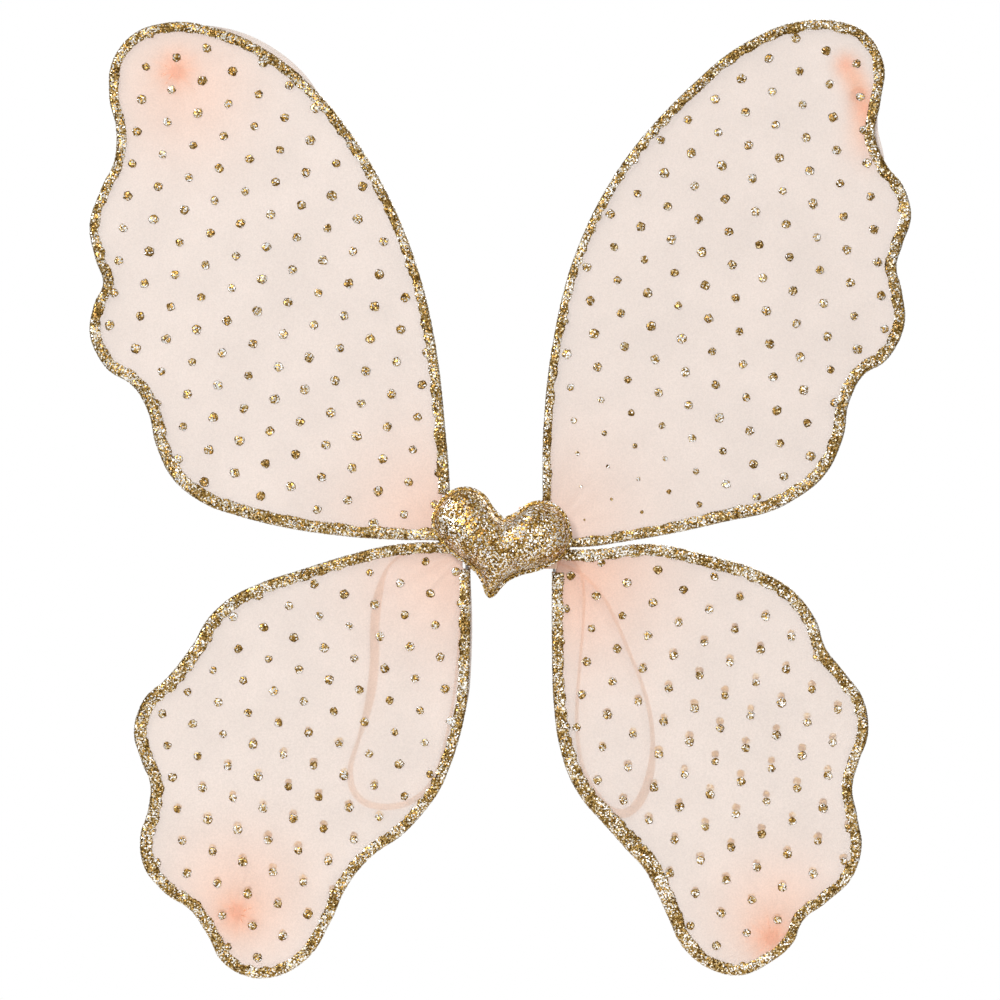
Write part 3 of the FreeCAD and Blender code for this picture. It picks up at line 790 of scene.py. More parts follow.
@dataclass
class Wing:
    """One covered wing: the nylon pocket, its border, dots, slivers, gathered end and the tie."""

    tier: Tier
    side: Side
    band: tuple[Pair, ...]             # border width at bearings in degrees
    dots: DotGrid
    pulls: tuple[Pull, ...]
    fringes: tuple[Fringe, ...] = ()
    seed: int = 1
    notch: float = 9.5                 # radius of the CAD cover's notch at the root
    strip: float = 2.3                 # bare strip beside the hinge
    wire: float = 1.35                 # half the thickness over the wire
    slack: float = 0.42                # half the gap between the plies in the middle
    run_out: float = 7.0               # from the wire to where the plies come together
    crimp_rise: float = 0.42           # how much further the front ply stands off over the crimp
    crimp_reach: float = 9.0
    print_gap: float = 0.03            # between the nylon and the underside of what is printed on it
    rows: int = 44
    columns: int = 480
    rim: np.ndarray = field(init=False)
    middle: np.ndarray = field(init=False)
    plane: float = field(init=False)

    def __post_init__(self) -> None:
        """Reads the wing's edge and plane from its CAD cover, and draws the nylon down over the crimp."""
        low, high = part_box(self.node("nylon_cover"))
        self.middle = np.array([low.x + high.x, low.z + high.z]) / 2
        self.plane = (low.y + high.y) / 2
        self.rim = self.with_root(rim_of(self.node("nylon_cover"), 3600))

    @property
    def name(self) -> str:
        """Such as "upper_left"."""
        return f"{self.tier.name}_{self.side.name}".lower()

    @property
    def body(self) -> str:
        """The CAD body that the wing rides on."""
        return f"{self.name}_wing"

    def node(self, what: str) -> str:
        """The wing's CAD node of that kind."""
        return f"{self.name}_{what}"

    def depth(self, plan: np.ndarray) -> np.ndarray:
        """Distance in metres from each (x, z) point to the nearest point of the wing's edge."""
        flat = plan.reshape(-1, 2).astype(np.float32)
        edge = self.rim.astype(np.float32)
        near = [
            ((block[:, None] - edge) ** 2).sum(-1).min(1)
            for block in np.array_split(flat, max(1, len(flat) // 400))
        ]
        return np.sqrt(np.concatenate(near)).reshape(plan.shape[:-1])

    def bulge(self, depth: np.ndarray) -> np.ndarray:
        """Half the pocket's thickness at a distance from the edge, in metres.

        A quarter circle over the wire, then a bell curve down to the slack between the plies.

        Args:
            depth: distance from the edge in metres.

        Returns:
            Half the thickness in metres.
        """
        wire, slack = self.wire * MM, self.slack * MM
        over = np.sqrt(np.maximum(wire ** 2 - (wire - np.minimum(depth, wire)) ** 2, 0))
        beyond = np.maximum(depth - wire, 0) / (self.run_out * MM)
        inner = slack + (wire - slack) * np.exp(-beyond ** 2)
        return np.where(depth < wire, over, inner)

    def crease(self, plan: np.ndarray, depth: np.ndarray) -> np.ndarray:
        """All the pulls' creases, held flat at the wire."""
        return sum(p.crease(plan) for p in self.pulls) * np.tanh(depth / (6 * MM)) ** 2

    def over_crimp(self, plan: np.ndarray, depth: np.ndarray) -> np.ndarray:
        """How much further the front ply stands off over the crimp: a bell round the root, in metres."""
        far = np.linalg.norm(plan - self.root(), axis=-1) / MM
        bell = np.exp(-(far / self.crimp_reach) ** 4)
        return self.crimp_rise * MM * bell * np.tanh(depth / (0.3 * MM))

    def front(self, plan: np.ndarray, depth: np.ndarray, lift: float | np.ndarray = 0.0) -> np.ndarray:
        """Points on the front ply, lifted off it by that many metres."""
        off = self.bulge(depth) + self.over_crimp(plan, depth)
        return in_space(plan, self.plane - off + self.crease(plan, depth) - lift)

    def rear(self, plan: np.ndarray, depth: np.ndarray, lift: float | np.ndarray = 0.0) -> np.ndarray:
        """Points on the rear ply, which stands off less, lifted off it by that many metres."""
        off = self.bulge(depth) + 0.3 * self.over_crimp(plan, depth)
        return in_space(plan, self.plane + off + self.crease(plan, depth) + lift)

    def gather_and_shade_tone(self, plan: np.ndarray) -> np.ndarray:
        """How gathered the nylon looks at each point, partly painted shade: one minus the product of what
        each pull leaves.
        """
        left = np.prod([1 - p.colour(plan) for p in self.pulls], axis=0)
        return 1 - left

    def pocket(self) -> bpy.types.Object:
        """The nylon sleeve, drawn over the wire.

        The rings are the edge line shrunk towards the middle, closer together towards the edge, out over
        the front ply and back over the rear one.

        Returns:
            The cover.
        """
        skip = len(self.rim) // self.columns
        edge = self.rim[::skip]
        part = np.linspace(0, 1, self.rows + 1)[1:]
        share = 1 - (1 - part) ** 2
        plan = self.middle + share[:, None, None] * (edge - self.middle)
        depth = self.depth(plan)
        depth[-1] = 0
        front, rear = self.front(plan, depth), self.rear(plan[:-1], depth[:-1])
        rings = np.concatenate([front, rear[::-1]])
        deep = self.depth(self.middle[None])
        poles = np.concatenate([self.front(self.middle[None], deep), self.rear(self.middle[None], deep)])
        piece = shell(f"{self.name}_nylon", rings, poles)
        places = np.concatenate([plan.reshape(-1, 2), plan[:-1][::-1].reshape(-1, 2), [self.middle] * 2])
        mark_gather_and_shade(piece, self.gather_and_shade_tone(places))
        dress(piece, NYLON, self.body)
        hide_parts(self.node("nylon_cover"))
        self.node("wire_frame")
        return piece

    def root(self) -> np.ndarray:
        """The (x, z) corner where the wing's wire is crimped beside its hinge, in metres."""
        joint = next(j for j in frame["joints"] if j["child"] == self.body)
        low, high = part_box(self.node("wire_crimp"))
        return np.array([joint["pos_m"][0], (low.z + high.z) / 2])

    def with_root(self, rim: np.ndarray) -> np.ndarray:
        """The edge line with its round notch at the root filled, all but a strip beside the hinge.

        The points on the notch's arc are laid afresh along two straight lines: the outer edge carried on
        to the strip, and the strip's own side.

        Args:
            rim: the CAD cover's edge.

        Returns:
            The new edge, with as many points.
        """
        x, z = ((rim - self.root()) / MM).T
        near, back, dip = 0.08, 11, 0.3
        arc = (np.hypot(x, z) < self.notch + near) & (x * self.side.value > 0)
        start = np.flatnonzero(arc & ~np.roll(arc, 1))[0]
        rolled = np.roll(rim, -start, axis=0)
        count = int(arc.sum())
        ends = [rolled[-1], rolled[count]]
        before = [rolled[-1 - back], rolled[count + back]]
        outer = int(abs(ends[1][0] - self.root()[0]) > abs(ends[0][0] - self.root()[0]))
        along = ends[outer] - before[outer]
        strip = self.root()[0] + self.side.value * self.strip * MM
        corner = ends[outer] + along * (strip - ends[outer][0]) / along[0]
        corner[1] -= self.tier.value * dip * MM
        filled = np.stack([ends[0], corner, ends[1]])
        rolled[:count] = points_at(filled, np.linspace(0, way_along(filled)[-1], count + 2)[1:-1])
        return rolled

    def free_edge(self) -> np.ndarray:
        """The edge line without the strip beside the hinge, from one side of it to the other, in metres."""
        x, z = ((self.rim - self.root()) / MM).T
        near, wire = 0.1, 0.9
        beside = x * self.side.value < self.strip + near
        leg = beside & (x * self.side.value < -wire)
        notch = beside & (z * self.tier.value < (z[leg] * self.tier.value).min())
        start = np.flatnonzero(notch & ~np.roll(notch, -1))[-1] + 1
        rolled = np.roll(self.rim, -start, axis=0)
        return rolled[~np.roll(notch, -start)]

    def border(self) -> bpy.types.Object:
        """The glitter border: a thin raised band whose inner side is ragged.

        Across the band, the front skin rises and falls as a flat-topped hump above the nylon, and the
        rear skin lies just on it. The width follows the bearing, with a slow wave and a flake-sized one.

        Returns:
            The border.
        """
        rng = np.random.default_rng(self.seed)
        step, slow_wave, flake_wave, overhang = 0.33, 0.35, 0.3, 0.12
        print_rise, coat, roughness = 0.2, 0.05, 0.05
        line = even_steps(self.free_edge(), step * MM)
        inward = inward_normals(line, closed=False)
        rel = line - self.middle
        bearing = np.arctan2(rel[:, 1], rel[:, 0])
        turns, widths = zip(*self.band)
        width = np.interp(np.degrees(bearing) % 360, turns, widths, period=360)
        width = width + slow_wave * wobble(bearing, 60, rng) + flake_wave * rng.uniform(-1, 1, len(line))
        outer = -overhang + overhang * rng.uniform(-1, 1, len(line))
        share = np.linspace(0, 1, 9) ** 1.25
        inset = (outer[:, None] + share * (width - outer)[:, None]) * MM
        plan = line[:, None] + inward[:, None] * inset[..., None]
        depth = np.maximum(inset, 0)
        hump = (1 - np.abs(2 * share - 1) ** 6) * print_rise * MM
        grain = roughness * MM * rng.uniform(-1, 1, inset.shape)
        over = self.front(plan, depth, (self.print_gap + coat) * MM + hump + grain)
        under = self.front(plan, depth, self.print_gap * MM)
        piece = shell(f"{self.name}_border", np.concatenate([over, under[:, ::-1]], axis=1))
        dress(piece, GLITTER_PRINT, self.body)
        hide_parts(self.node("glitter_border"))
        return piece

    def inside(self, plan: np.ndarray) -> np.ndarray:
        """Whether each point is on the wing: nearer its middle than the edge at the same bearing is."""
        rel, edge = plan - self.middle, self.rim - self.middle
        bearing = np.arctan2(edge[:, 1], edge[:, 0])
        order = np.argsort(bearing)
        reach = np.interp(
            np.arctan2(rel[..., 1], rel[..., 0]), bearing[order], np.linalg.norm(edge, axis=1)[order],
            period=2 * np.pi)
        return np.linalg.norm(rel, axis=-1) < reach

    def dot_places(self) -> np.ndarray:
        """The dots whose middles lie on the wing and clear of its wire."""
        centres, clear = self.dots.centres(), 2.2
        inside = centres[self.inside(centres)]
        return inside[self.depth(inside) > clear * MM]

    def folds(self, number: int, pull: Pull) -> None:
        """Folds of nylon inside the pocket that run out from a pull like the spokes of a fan.

        Each spoke is a narrow peak of a sum of sines of the bearing. Its colour and its opacity fall
        with the square of the distance, to nothing at the end of the folds' reach, which is shorter
        where the wing's edge is nearer. The deeper colour along the spokes is partly the bunched nylon's
        own and partly painted shade of the folds.

        Args:
            number: which pull it is.
            pull: the pull.
        """
        rng = np.random.default_rng(self.seed + 200 + number)
        clear, least = 2.0, 0.02
        bearing = np.linspace(0, 2 * np.pi, 241)[:-1] + rng.uniform(0, 1)
        part = np.linspace(0.04, 1, 26)
        way = np.stack([np.cos(bearing), np.sin(bearing)], axis=1)
        centre = np.array([pull.x, pull.z]) * MM
        tried = centre + part[:, None, None] * pull.folds * MM * way
        good = self.inside(tried) & (self.depth(tried) > clear * MM)
        room = np.cumprod(good, axis=0).sum(0) / len(part)
        room = np.maximum(np.minimum.reduce([np.roll(room, k) for k in (-2, -1, 0, 1, 2)]), least)
        plan = centre + part[:, None, None] * (room * pull.folds * MM)[:, None] * way
        far = part[:, None] * room
        spokes = sum(
            np.maximum(np.sin(k * bearing + rng.uniform(0, 6) + rng.uniform(-1, 1) * 2 * far), 0) ** 5
            for k in (9, 14, 23))
        base, peak, under_ply, thin, ridge = 0.16, 0.6, 0.2, 0.04, 0.05
        tone = np.clip(base + peak * spokes, 0, 1) * (1 - far) ** 2 * pull.depth_of_folds
        tone = tone * (1 - part[:, None] ** 8)
        deep = self.depth(plan)
        y = self.plane - self.bulge(deep) + self.crease(plan, deep) + under_ply * MM
        front, rear = in_space(plan, y - ridge * MM * spokes), in_space(plan, y + thin * MM)
        piece = shell(f"{self.name}_folds_{number}", np.concatenate([front, rear[::-1]]))
        mark_gather_and_shade(piece, np.concatenate([tone.ravel(), tone[::-1].ravel(), [tone[0].mean()] * 2]))
        dress(piece, NYLON_FOLDS, self.body)

    def dot_rings(self, centres: np.ndarray, radius: float, rear: bool) -> tuple[np.ndarray, np.ndarray]:
        """Rings and poles of low domes with ragged edges, one for each centre.

        Args:
            centres: (x, z) places in metres.
            radius: each dot's radius in millimetres before it is varied.
            rear: True for dots inside the pocket on the rear ply.

        Returns:
            Rings, shape (n, 2, around, 3), and poles, shape (n, 2, 3).
        """
        rng = np.random.default_rng(self.seed + 40)
        around, top, shoulder = 14, 0.22, 0.2
        size = radius * rng.uniform(0.86, 1.08, len(centres))
        if self.dots.fade:
            x, z, reach = self.dots.fade
            far = np.linalg.norm(centres / MM - (x, z), axis=1)
            size = size * np.clip(0.28 + 0.72 * (far / reach) ** 1.5, 0, 1)
        turn = np.linspace(0, 2 * np.pi, around, endpoint=False)
        ragged = rng.uniform(0.84, 1.12, (len(centres), around))
        spoke = np.stack([np.cos(turn), np.sin(turn)], axis=-1)
        rim = centres[:, None] + spoke * (size[:, None] * ragged)[..., None] * MM
        inner = centres[:, None] + 0.72 * (rim - centres[:, None])
        put, out = (self.rear, -MM) if rear else (self.front, MM)
        foot, deep = self.print_gap * out, self.depth(centres)
        skins = [put(rim, self.depth(rim), foot), put(inner, self.depth(inner), shoulder * out)]
        poles = [put(centres, deep, foot), put(centres, deep, top * out)]
        return np.stack(skins, axis=1), np.stack(poles, axis=1)

    def spots(self) -> None:
        """The glitter dots of the front ply, and those of the rear ply where they show through."""
        places = self.dot_places()
        rings, poles = self.dot_rings(places, self.dots.radius, rear=False)
        dress(shell(f"{self.name}_dots", rings, poles), GLITTER_DOTS, self.body)
        if self.dots.rear:
            x, z, reach, rise = self.dots.rear
            least, share = 0.9, 0.92
            up = rise * MM * np.exp(-(np.linalg.norm(places / MM - (x, z), axis=1) / reach) ** 2)
            shifted = places + np.stack([np.zeros(len(up)), up], axis=1)
            rings, poles = self.dot_rings(shifted[up > least * MM], self.dots.radius * share, rear=True)
            # The rear dots' finish is set pale: painted light that offsets the shade between the plies
            dress(shell(f"{self.name}_rear_dots", rings, poles), GLITTER_REAR, self.body)

    def slivers(self) -> None:
        """Slips of the rear ply that stand past the edge, each a thin crescent along it.

        A slip reaches out by a sine of the way along it to the power 0.7, and curls forwards from the
        rear ply by the square of the way out.
        """
        lap, curl, thick = 1.1, 1.2, 0.12
        behind = self.wire + 0.07
        for number, fringe in enumerate(self.fringes, 1):
            rel = self.rim - self.middle
            bearing = np.degrees(np.arctan2(rel[:, 1], rel[:, 0])) % 360
            chosen = np.flatnonzero((bearing > fringe.start) & (bearing < fringe.end))
            line = even_steps(self.rim[chosen[np.argsort(bearing[chosen])]], 1.2 * MM)
            inward = inward_normals(line, closed=False)
            part = np.linspace(0, 1, len(line))
            out = fringe.reach * MM * np.sin(np.pi * part) ** 0.7 * (1 - 0.3 * part)
            share = np.linspace(0, 1, 6)
            inset = lap * MM - share * (lap * MM + out[:, None])
            plan = line[:, None] + inward[:, None] * inset[..., None]
            y = self.plane + behind * MM - curl * MM * share ** 2
            over, under = in_space(plan, y), in_space(plan, y + thick * MM)
            piece = shell(f"{self.name}_sliver_{number}", np.concatenate([over, under[:, ::-1]], axis=1))
            dress(piece, NYLON, self.body)

    def gathered_end(self) -> None:
        """The end of the sleeve behind the tip: pleats drawn to a neck, then a cut frill, and its tie.

        The frill's radius is a smooth profile along y times one plus a share of a sine of many pleats,
        and its cut end waves along y with the same sine. The tie is a thread wound round the neck.
        """
        low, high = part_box(self.node("tip_gather"))
        x, z = (low.x + high.x) / 2, (low.z + high.z) / 2
        height, around, sunk, wavy_end, hollow = (high.y - low.y) / MM, 112, 0.3, 0.35, 1.6
        part = np.linspace(0, 1, 30)
        profile = np.interp(part, [0, 0.12, 0.3, 0.4, 0.5, 0.62, 0.8, 1],
                            [3.6, 3.1, 2.4, 2.0, 2.0, 2.5, 3.3, 3.9])
        pleats = np.interp(part, [0, 0.2, 0.4, 0.5, 0.7, 1], [0.03, 0.14, 0.1, 0.1, 0.16, 0.26])
        turn = np.linspace(0, 2 * np.pi, around, endpoint=False)
        rng = np.random.default_rng(self.seed + 90)
        wave = np.sin(11 * turn + 0.8 * wobble(turn, 3, rng)) * (0.8 + 0.2 * wobble(turn, 5, rng))
        radius = profile[:, None] * (1 + pleats[:, None] * wave) * MM
        up = part[:, None]
        y = low.y - sunk * MM + up * (height + sunk) * MM + wavy_end * MM * up ** 4 * wave
        rings = np.stack([x + radius * np.cos(turn), y, z + radius * np.sin(turn)], axis=-1)
        top = np.array([x, high.y - hollow * MM, z])
        piece = shell(f"{self.name}_gathered_end", rings, np.stack([rings[0].mean(0), top]))
        # Deeper at the base by the wing, paler towards the cut end: partly gathered colour, partly painted
        # shade
        mark_gather_and_shade(piece, np.concatenate([np.repeat(0.7 - 0.6 * part, around), [0.7, 0.3]]))
        dress(piece, NYLON_GATHERED, self.body)
        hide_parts(self.node("tip_gather"))

        turns, neck, thread_radius, margin = 3, 2.45, 0.26, 0.3
        wound = np.linspace(0, turns * 2 * np.pi, 150)
        tie_low, tie_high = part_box(self.node("gather_tie"))
        level = tie_low.y + margin * MM + (tie_high.y - tie_low.y - 2 * margin * MM) * wound / wound[-1]
        path = np.stack([x + neck * MM * np.cos(wound), level, z + neck * MM * np.sin(wound)], axis=-1)
        thread = shell(f"{self.name}_tie", tube_rings(path, thread_radius * MM))
        dress(thread, THREAD, self.body)
        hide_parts(self.node("gather_tie"))

    def build(self) -> None:
        """Makes every piece of the wing and dresses its wire and crimp."""
        self.pocket()
        for number, pull in enumerate(self.pulls, 1):
            if pull.folds:
                self.folds(number, pull)
        self.border()
        self.spots()
        self.slivers()
        self.gathered_end()
        redress(self.node("wire_frame"), STEEL)
        redress(self.node("wire_crimp"), ALUMINIUM)
        redress(self.node("tape_hinge"), TWILL)


WINGS = (
    Wing(
        Tier.UPPER, Side.LEFT, seed=3,
        band=((0, 4.5), (90, 5.0), (160, 4.5), (240, 6.2), (300, 5.6)),
        dots=DotGrid((-162.6, 220.7), (14.8, 4.5), (-2.2, -15.7)),
        pulls=(Pull(-29, 3, 46, 0.3, 20, 0.3, 60, 0.5), Pull(-161, 230.5, 9, 0.3, 10, 0.3, 17),
               Pull(-157, 222, 34, 0.22, 12, 0.2)),
        fringes=(Fringe(76, 104, 3.2),),
    ),
    Wing(
        Tier.UPPER, Side.RIGHT, seed=5,
        band=((0, 5.5), (90, 4.8), (150, 4.2), (230, 4.0), (270, 6.0)),
        dots=DotGrid((127.4, 235.9), (14.8, -6.2), (1.7, -16.1), fade=(38, 12, 78)),
        pulls=(Pull(19, 2, 46, 0.22, 20, 0.3, 55, 0.4), Pull(165, 233, 6, 0.36, 8, 0.15, 11),
               Pull(169, 226, 6, 0.42, height=0.0), Pull(172, 219, 6, 0.42, height=0.0),
               Pull(174.5, 212, 7, 0.38, 9, 0.2, 13), Pull(176, 204, 8, 0.36, height=0.0),
               Pull(178, 195, 11, 0.28, 9, 0.2)),
        fringes=(Fringe(38, 48, 2.4),),
    ),
    Wing(
        Tier.LOWER, Side.LEFT, seed=7,
        band=((0, 5.2), (100, 5.4), (140, 6.4), (210, 6.0), (270, 5.2)),
        dots=DotGrid((-66.4, -13.9), (14.7, -5.0), (2.4, -15.5), 2.2, rear=(-108, -138, 52, 2.6)),
        pulls=(Pull(-19, -2, 48, 0.3, 20, 0.3, 60, 0.5), Pull(-131, -180, 11, 0.3, 10, 0.3, 16),
               Pull(-130, -172, 32, 0.26, 12, 0.2)),
        fringes=(Fringe(18, 48, 1.1),),
    ),
    Wing(
        Tier.LOWER, Side.RIGHT, seed=11,
        band=((0, 5.2), (75, 6.0), (150, 5.4), (230, 8.3), (280, 5.0)),
        dots=DotGrid((46.1, -9.1), (12.5, -9.7), (-2.4, -16.0), 2.2, rear=(122, -105, 66, 3.9)),
        pulls=(Pull(23, -4, 48, 0.44, 20, 0.3, 65, 0.6), Pull(129, -192, 11, 0.32, 10, 0.3, 20),
               Pull(132, -182, 28, 0.28, 12, 0.2)),
    ),
)


# Straps


@dataclass
class ShoulderLoop:
    """One loop of flat elastic, from the pad down behind a lower wing and back."""

    side: Side
    route: tuple[Pair, ...]            # (x, z) control points, the same as the CAD route's
    facing: tuple[Pair, ...]           # shares of the length, and degrees turned to face the front there
    depth: float = -3.0                # y of the whole route
    width: float = 4.6
    thick: float = 1.25
    ends: Pair = (17.0, 30.0)          # |x| between which the band passes from the hub to the wing; not used

    def build(self) -> None:
        """The section is a rounded rectangle: a superellipse of power four. It turns about the route, from
        standing on edge to facing the front, by the angle that the facing list gives along the way.
        """
        path = line_points([(x, self.depth, z) for x, z in self.route], 0.6)
        ahead = np.gradient(path, axis=0)
        ahead /= np.linalg.norm(ahead, axis=1, keepdims=True)
        back = np.array(REARWARDS)
        flat = np.cross(ahead, back)
        share = np.linspace(0, 1, len(path))
        shares, turns = zip(*self.facing)
        angle = np.radians(np.interp(share, shares, turns))[:, None]
        broad = np.cos(angle) * back + np.sin(angle) * flat
        thin = np.cross(ahead, broad)
        turn = np.linspace(0, 2 * np.pi, 20, endpoint=False)
        cosine, sine = np.cos(turn), np.sin(turn)
        a = (np.sign(cosine) * np.abs(cosine) ** 0.5 * self.width * MM / 2)[None, :, None]
        b = (np.sign(sine) * np.abs(sine) ** 0.5 * self.thick * MM / 2)[None, :, None]
        rings = path[:, None] + broad[:, None] * a + thin[:, None] * b
        name = self.side.name.lower()
        piece = shell(f"{name}_elastic_loop", rings)
        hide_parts(f"{name}_shoulder_strap", f"{name}_strap_knot")
        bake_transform(piece)
        # The elastic's pale colours are painted light that offsets the shade behind the nylon
        dress(piece, ELASTIC, None)


LOOPS = (
    ShoulderLoop(
        Side.LEFT,
        ((-10, -3.5), (-20, -3.5), (-33, -1.8), (-46, -3), (-57.5, -9), (-62.5, -23.5), (-64.5, -41),
         (-64, -59), (-66.5, -77), (-71.5, -94), (-76.5, -108), (-75.6, -120), (-68, -127.5),
         (-54, -128.5), (-41.5, -123.3), (-33.5, -112), (-29.5, -96), (-26, -78), (-24, -60),
         (-22.5, -42), (-22, -26), (-20, -14), (-15, -9), (-10, -8.5)),
        ((0, 0), (0.16, 5), (0.22, 75), (0.34, 78), (0.42, 12), (0.5, 35), (0.6, 30), (0.7, 8), (1, 0)),
    ),
    ShoulderLoop(
        Side.RIGHT,
        ((10, -4), (19, -4), (28, -5), (35.5, -10.5), (38, -22.5), (37.5, -38), (36, -56),
         (34.5, -73), (34, -90), (36, -106), (41, -119), (48.5, -129.5), (58, -132.5), (66.2, -124.5),
         (70.8, -110), (71.5, -94.5), (69.5, -79.5), (65, -65), (59, -51), (53.5, -37.5), (47, -25),
         (38.5, -15.5), (28, -10), (19, -8.6), (10, -8.5)),
        ((0, 0), (0.2, 6), (0.4, 15), (0.46, 70), (0.54, 74), (0.62, 18), (0.8, 10), (1, 0)),
    ),
)


# Heart


@dataclass
class StuffedHeart:
    """The stuffed glitter heart: a swollen cushion, its flat edge, the sewn line and the backing."""

    flange: float = 1.7                # width of the flat edge outside the cushion
    stitch_inset: float = 1.35
    dome: float = 11.4                 # how far the cushion rises from its seam before it swells
    base: float = 0.5                  # height of its first ring
    grow: float = 10.0                 # cloth this small hardly swells, so it does at ten times the size
    voxel: float = 1.05
    cloth: float = 0.6                 # thickness of the flat edge
    most: float = 3.0                  # no point moves further than this as it swells
    steps: int = 22                    # of the simulation
    outline: np.ndarray = field(init=False)
    middle: np.ndarray = field(init=False)
    seam: float = field(init=False)

    def __post_init__(self) -> None:
        """Reads the heart's outline and its seam's depth from the CAD backing."""
        self.outline = rim_of("heart_back_cloth", 480)
        low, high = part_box("heart_back_cloth")
        self.middle = np.array([low.x + high.x, low.z + high.z]) / 2
        self.seam = low.y

    def inset(self, by: float) -> np.ndarray:
        """The outline moved inwards by millimetres, with its points and cleft kept in order."""
        inward = inward_normals(self.outline)
        return self.outline + inward * by * MM

    def cushion(self) -> None:
        """The stuffed body, swollen by a cloth simulation.

        It starts as shrinking copies of the seam line that rise as a superellipse, is given even small
        faces, and is then blown up by pressure with its rear held still.
        """
        line = self.inset(self.flange)[::2]
        part = np.linspace(1, 0, 26)[:-1]
        rise = self.dome * MM * (1 - part ** 2.4) ** 0.55
        plan = self.middle + part[:, None, None] * (line - self.middle)
        foot = self.seam - self.base * MM
        front = in_space(plan, (foot - rise)[:, None])
        poles = in_space(np.stack([self.middle, self.middle]), np.array([self.seam, foot - self.dome * MM]))
        start = shell("heart_start", np.concatenate([in_space(plan[:1], self.seam), front]), poles)
        start.data.transform(Matrix.Scale(self.grow, 4))
        even = start.modifiers.new("even", "REMESH")
        even.mode = "VOXEL"
        even.voxel_size = self.voxel * MM * self.grow
        piece = self.swollen(baked_copy(start, "heart_cushion"))
        piece.data.transform(Matrix.Scale(1 / self.grow, 4))
        finer = piece.modifiers.new("finer", "SUBSURF")
        finer.levels = finer.render_levels = 1
        bpy.data.objects.remove(start)
        dress(piece, GLITTER_CLOTH, "hub")
        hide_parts("heart_face_cloth", "heart_stuffing")

    def swollen(self, piece: bpy.types.Object) -> bpy.types.Object:
        """Swells the cushion.

        Args:
            piece: the evenly divided cushion at the larger scale.
        """
        before = np.zeros(len(piece.data.vertices) * 3)
        piece.data.vertices.foreach_get("co", before)
        before = before.reshape(-1, 3)
        held = piece.vertex_groups.new(name="held")
        rear = 0.9
        still = np.flatnonzero(before[:, 1] > (self.seam - rear * MM) * self.grow)
        held.add(still.tolist(), 1.0, "REPLACE")
        cloth = piece.modifiers.new("swell", "CLOTH")
        cloth.settings.quality = 8
        cloth.settings.mass = 0.2
        cloth.settings.tension_stiffness = 12
        cloth.settings.compression_stiffness = 12
        cloth.settings.bending_stiffness = 0.6
        cloth.settings.shrink_min = -0.07
        cloth.settings.vertex_group_mass = "held"
        cloth.settings.use_pressure = True
        cloth.settings.uniform_pressure_force = 5.0
        cloth.settings.effector_weights.gravity = 0
        cloth.collision_settings.use_collision = False
        for step in range(1, self.steps + 1):
            bpy.context.scene.frame_set(step)
        after = np.zeros(len(piece.data.vertices) * 3)
        evaluated = piece.evaluated_get(bpy.context.evaluated_depsgraph_get())
        evaluated.data.vertices.foreach_get("co", after)
        after = after.reshape(-1, 3)
        piece.modifiers.remove(cloth)
        bpy.context.scene.frame_set(1)
        move = after - before
        size = np.linalg.norm(move, axis=1, keepdims=True)
        nothing = 1e-9
        move *= np.minimum(1, self.most * MM * self.grow / np.maximum(size, nothing))
        piece.data.vertices.foreach_set("co", (before + move).astype(np.float32).ravel())
        piece.data.update()
        log.info("heart cushion: asked to swell by up to %.1f mm", size.max() / MM / self.grow)
        return piece

    def edge_ring(self, width: float, corners: float) -> np.ndarray:
        """Rings of the flat edge of cloth that follows the outline.

        Its section is a superellipse as wide as the edge and as thick as the cloth.

        Args:
            width: from the outline inwards.
            corners: the superellipse's power; larger is squarer.

        Returns:
            Points in metres, shape (stations, 14, 3), not closed.
        """
        turn = np.linspace(0, 2 * np.pi, 14, endpoint=False)
        cosine = np.sign(np.cos(turn)) * np.abs(np.cos(turn)) ** (2 / corners)
        sine = np.sign(np.sin(turn)) * np.abs(np.sin(turn)) ** (2 / corners)
        inset = width / 2 + width / 2 * cosine
        inward = inward_normals(self.outline)
        plan = self.outline[:, None] + inward[:, None] * (inset * MM)[None, :, None]
        front = self.seam - self.cloth * MM
        return in_space(plan, (front + self.seam) / 2 + (self.seam - front) / 2 * sine)

    def build(self) -> None:
        """Makes the cushion, the flat edge, the sewn line and the backing."""
        self.cushion()
        ring = self.edge_ring(width=4.6, corners=3.0)
        edge = shell("heart_edge", np.concatenate([ring, ring[:1]]))
        dress(edge, GLITTER_CLOTH, "hub")

        back_inset, rounding = 0.15, 0.25
        share = np.linspace(0.03, 1, 24)[:, None, None]
        line = self.inset(back_inset)
        plan = self.middle + share * (line - self.middle)
        low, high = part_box("heart_back_cloth")
        round_off = rounding * MM * share[..., 0] ** 12
        front, rear = in_space(plan, low.y + round_off), in_space(plan[::-1], high.y - round_off[::-1])
        back = shell("heart_backing", np.concatenate([front, rear]))
        dress(back, FELT, "hub")
        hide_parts("heart_back_cloth")

        seam = self.inset(self.stitch_inset)
        seam = in_space(np.concatenate([seam, seam[:1]]), self.seam - (self.cloth + 0.12) * MM)
        stitch = RunningStitch(length=2.2, gap=0.35, radius=0.34, rise=0.12)
        sewn = shell("heart_sewn_line", stitch.rings(seam))
        dress(sewn, THREAD, "hub")
        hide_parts("heart_topstitch")


def baked_copy(piece: bpy.types.Object, name: str) -> bpy.types.Object:
    """A new object that holds a piece's mesh with its modifiers applied.

    Args:
        piece: the piece to copy.
        name: the new object's name.

    Returns:
        The new object.
    """
    graph = bpy.context.evaluated_depsgraph_get()
    mesh = bpy.data.meshes.new_from_object(piece.evaluated_get(graph))
    mesh.name = name
    mesh.polygons.foreach_set("use_smooth", np.ones(len(mesh.polygons), bool))
    made = bpy.data.objects.new(name, mesh)
    bpy.context.scene.collection.objects.link(made)
    return made


# Hub


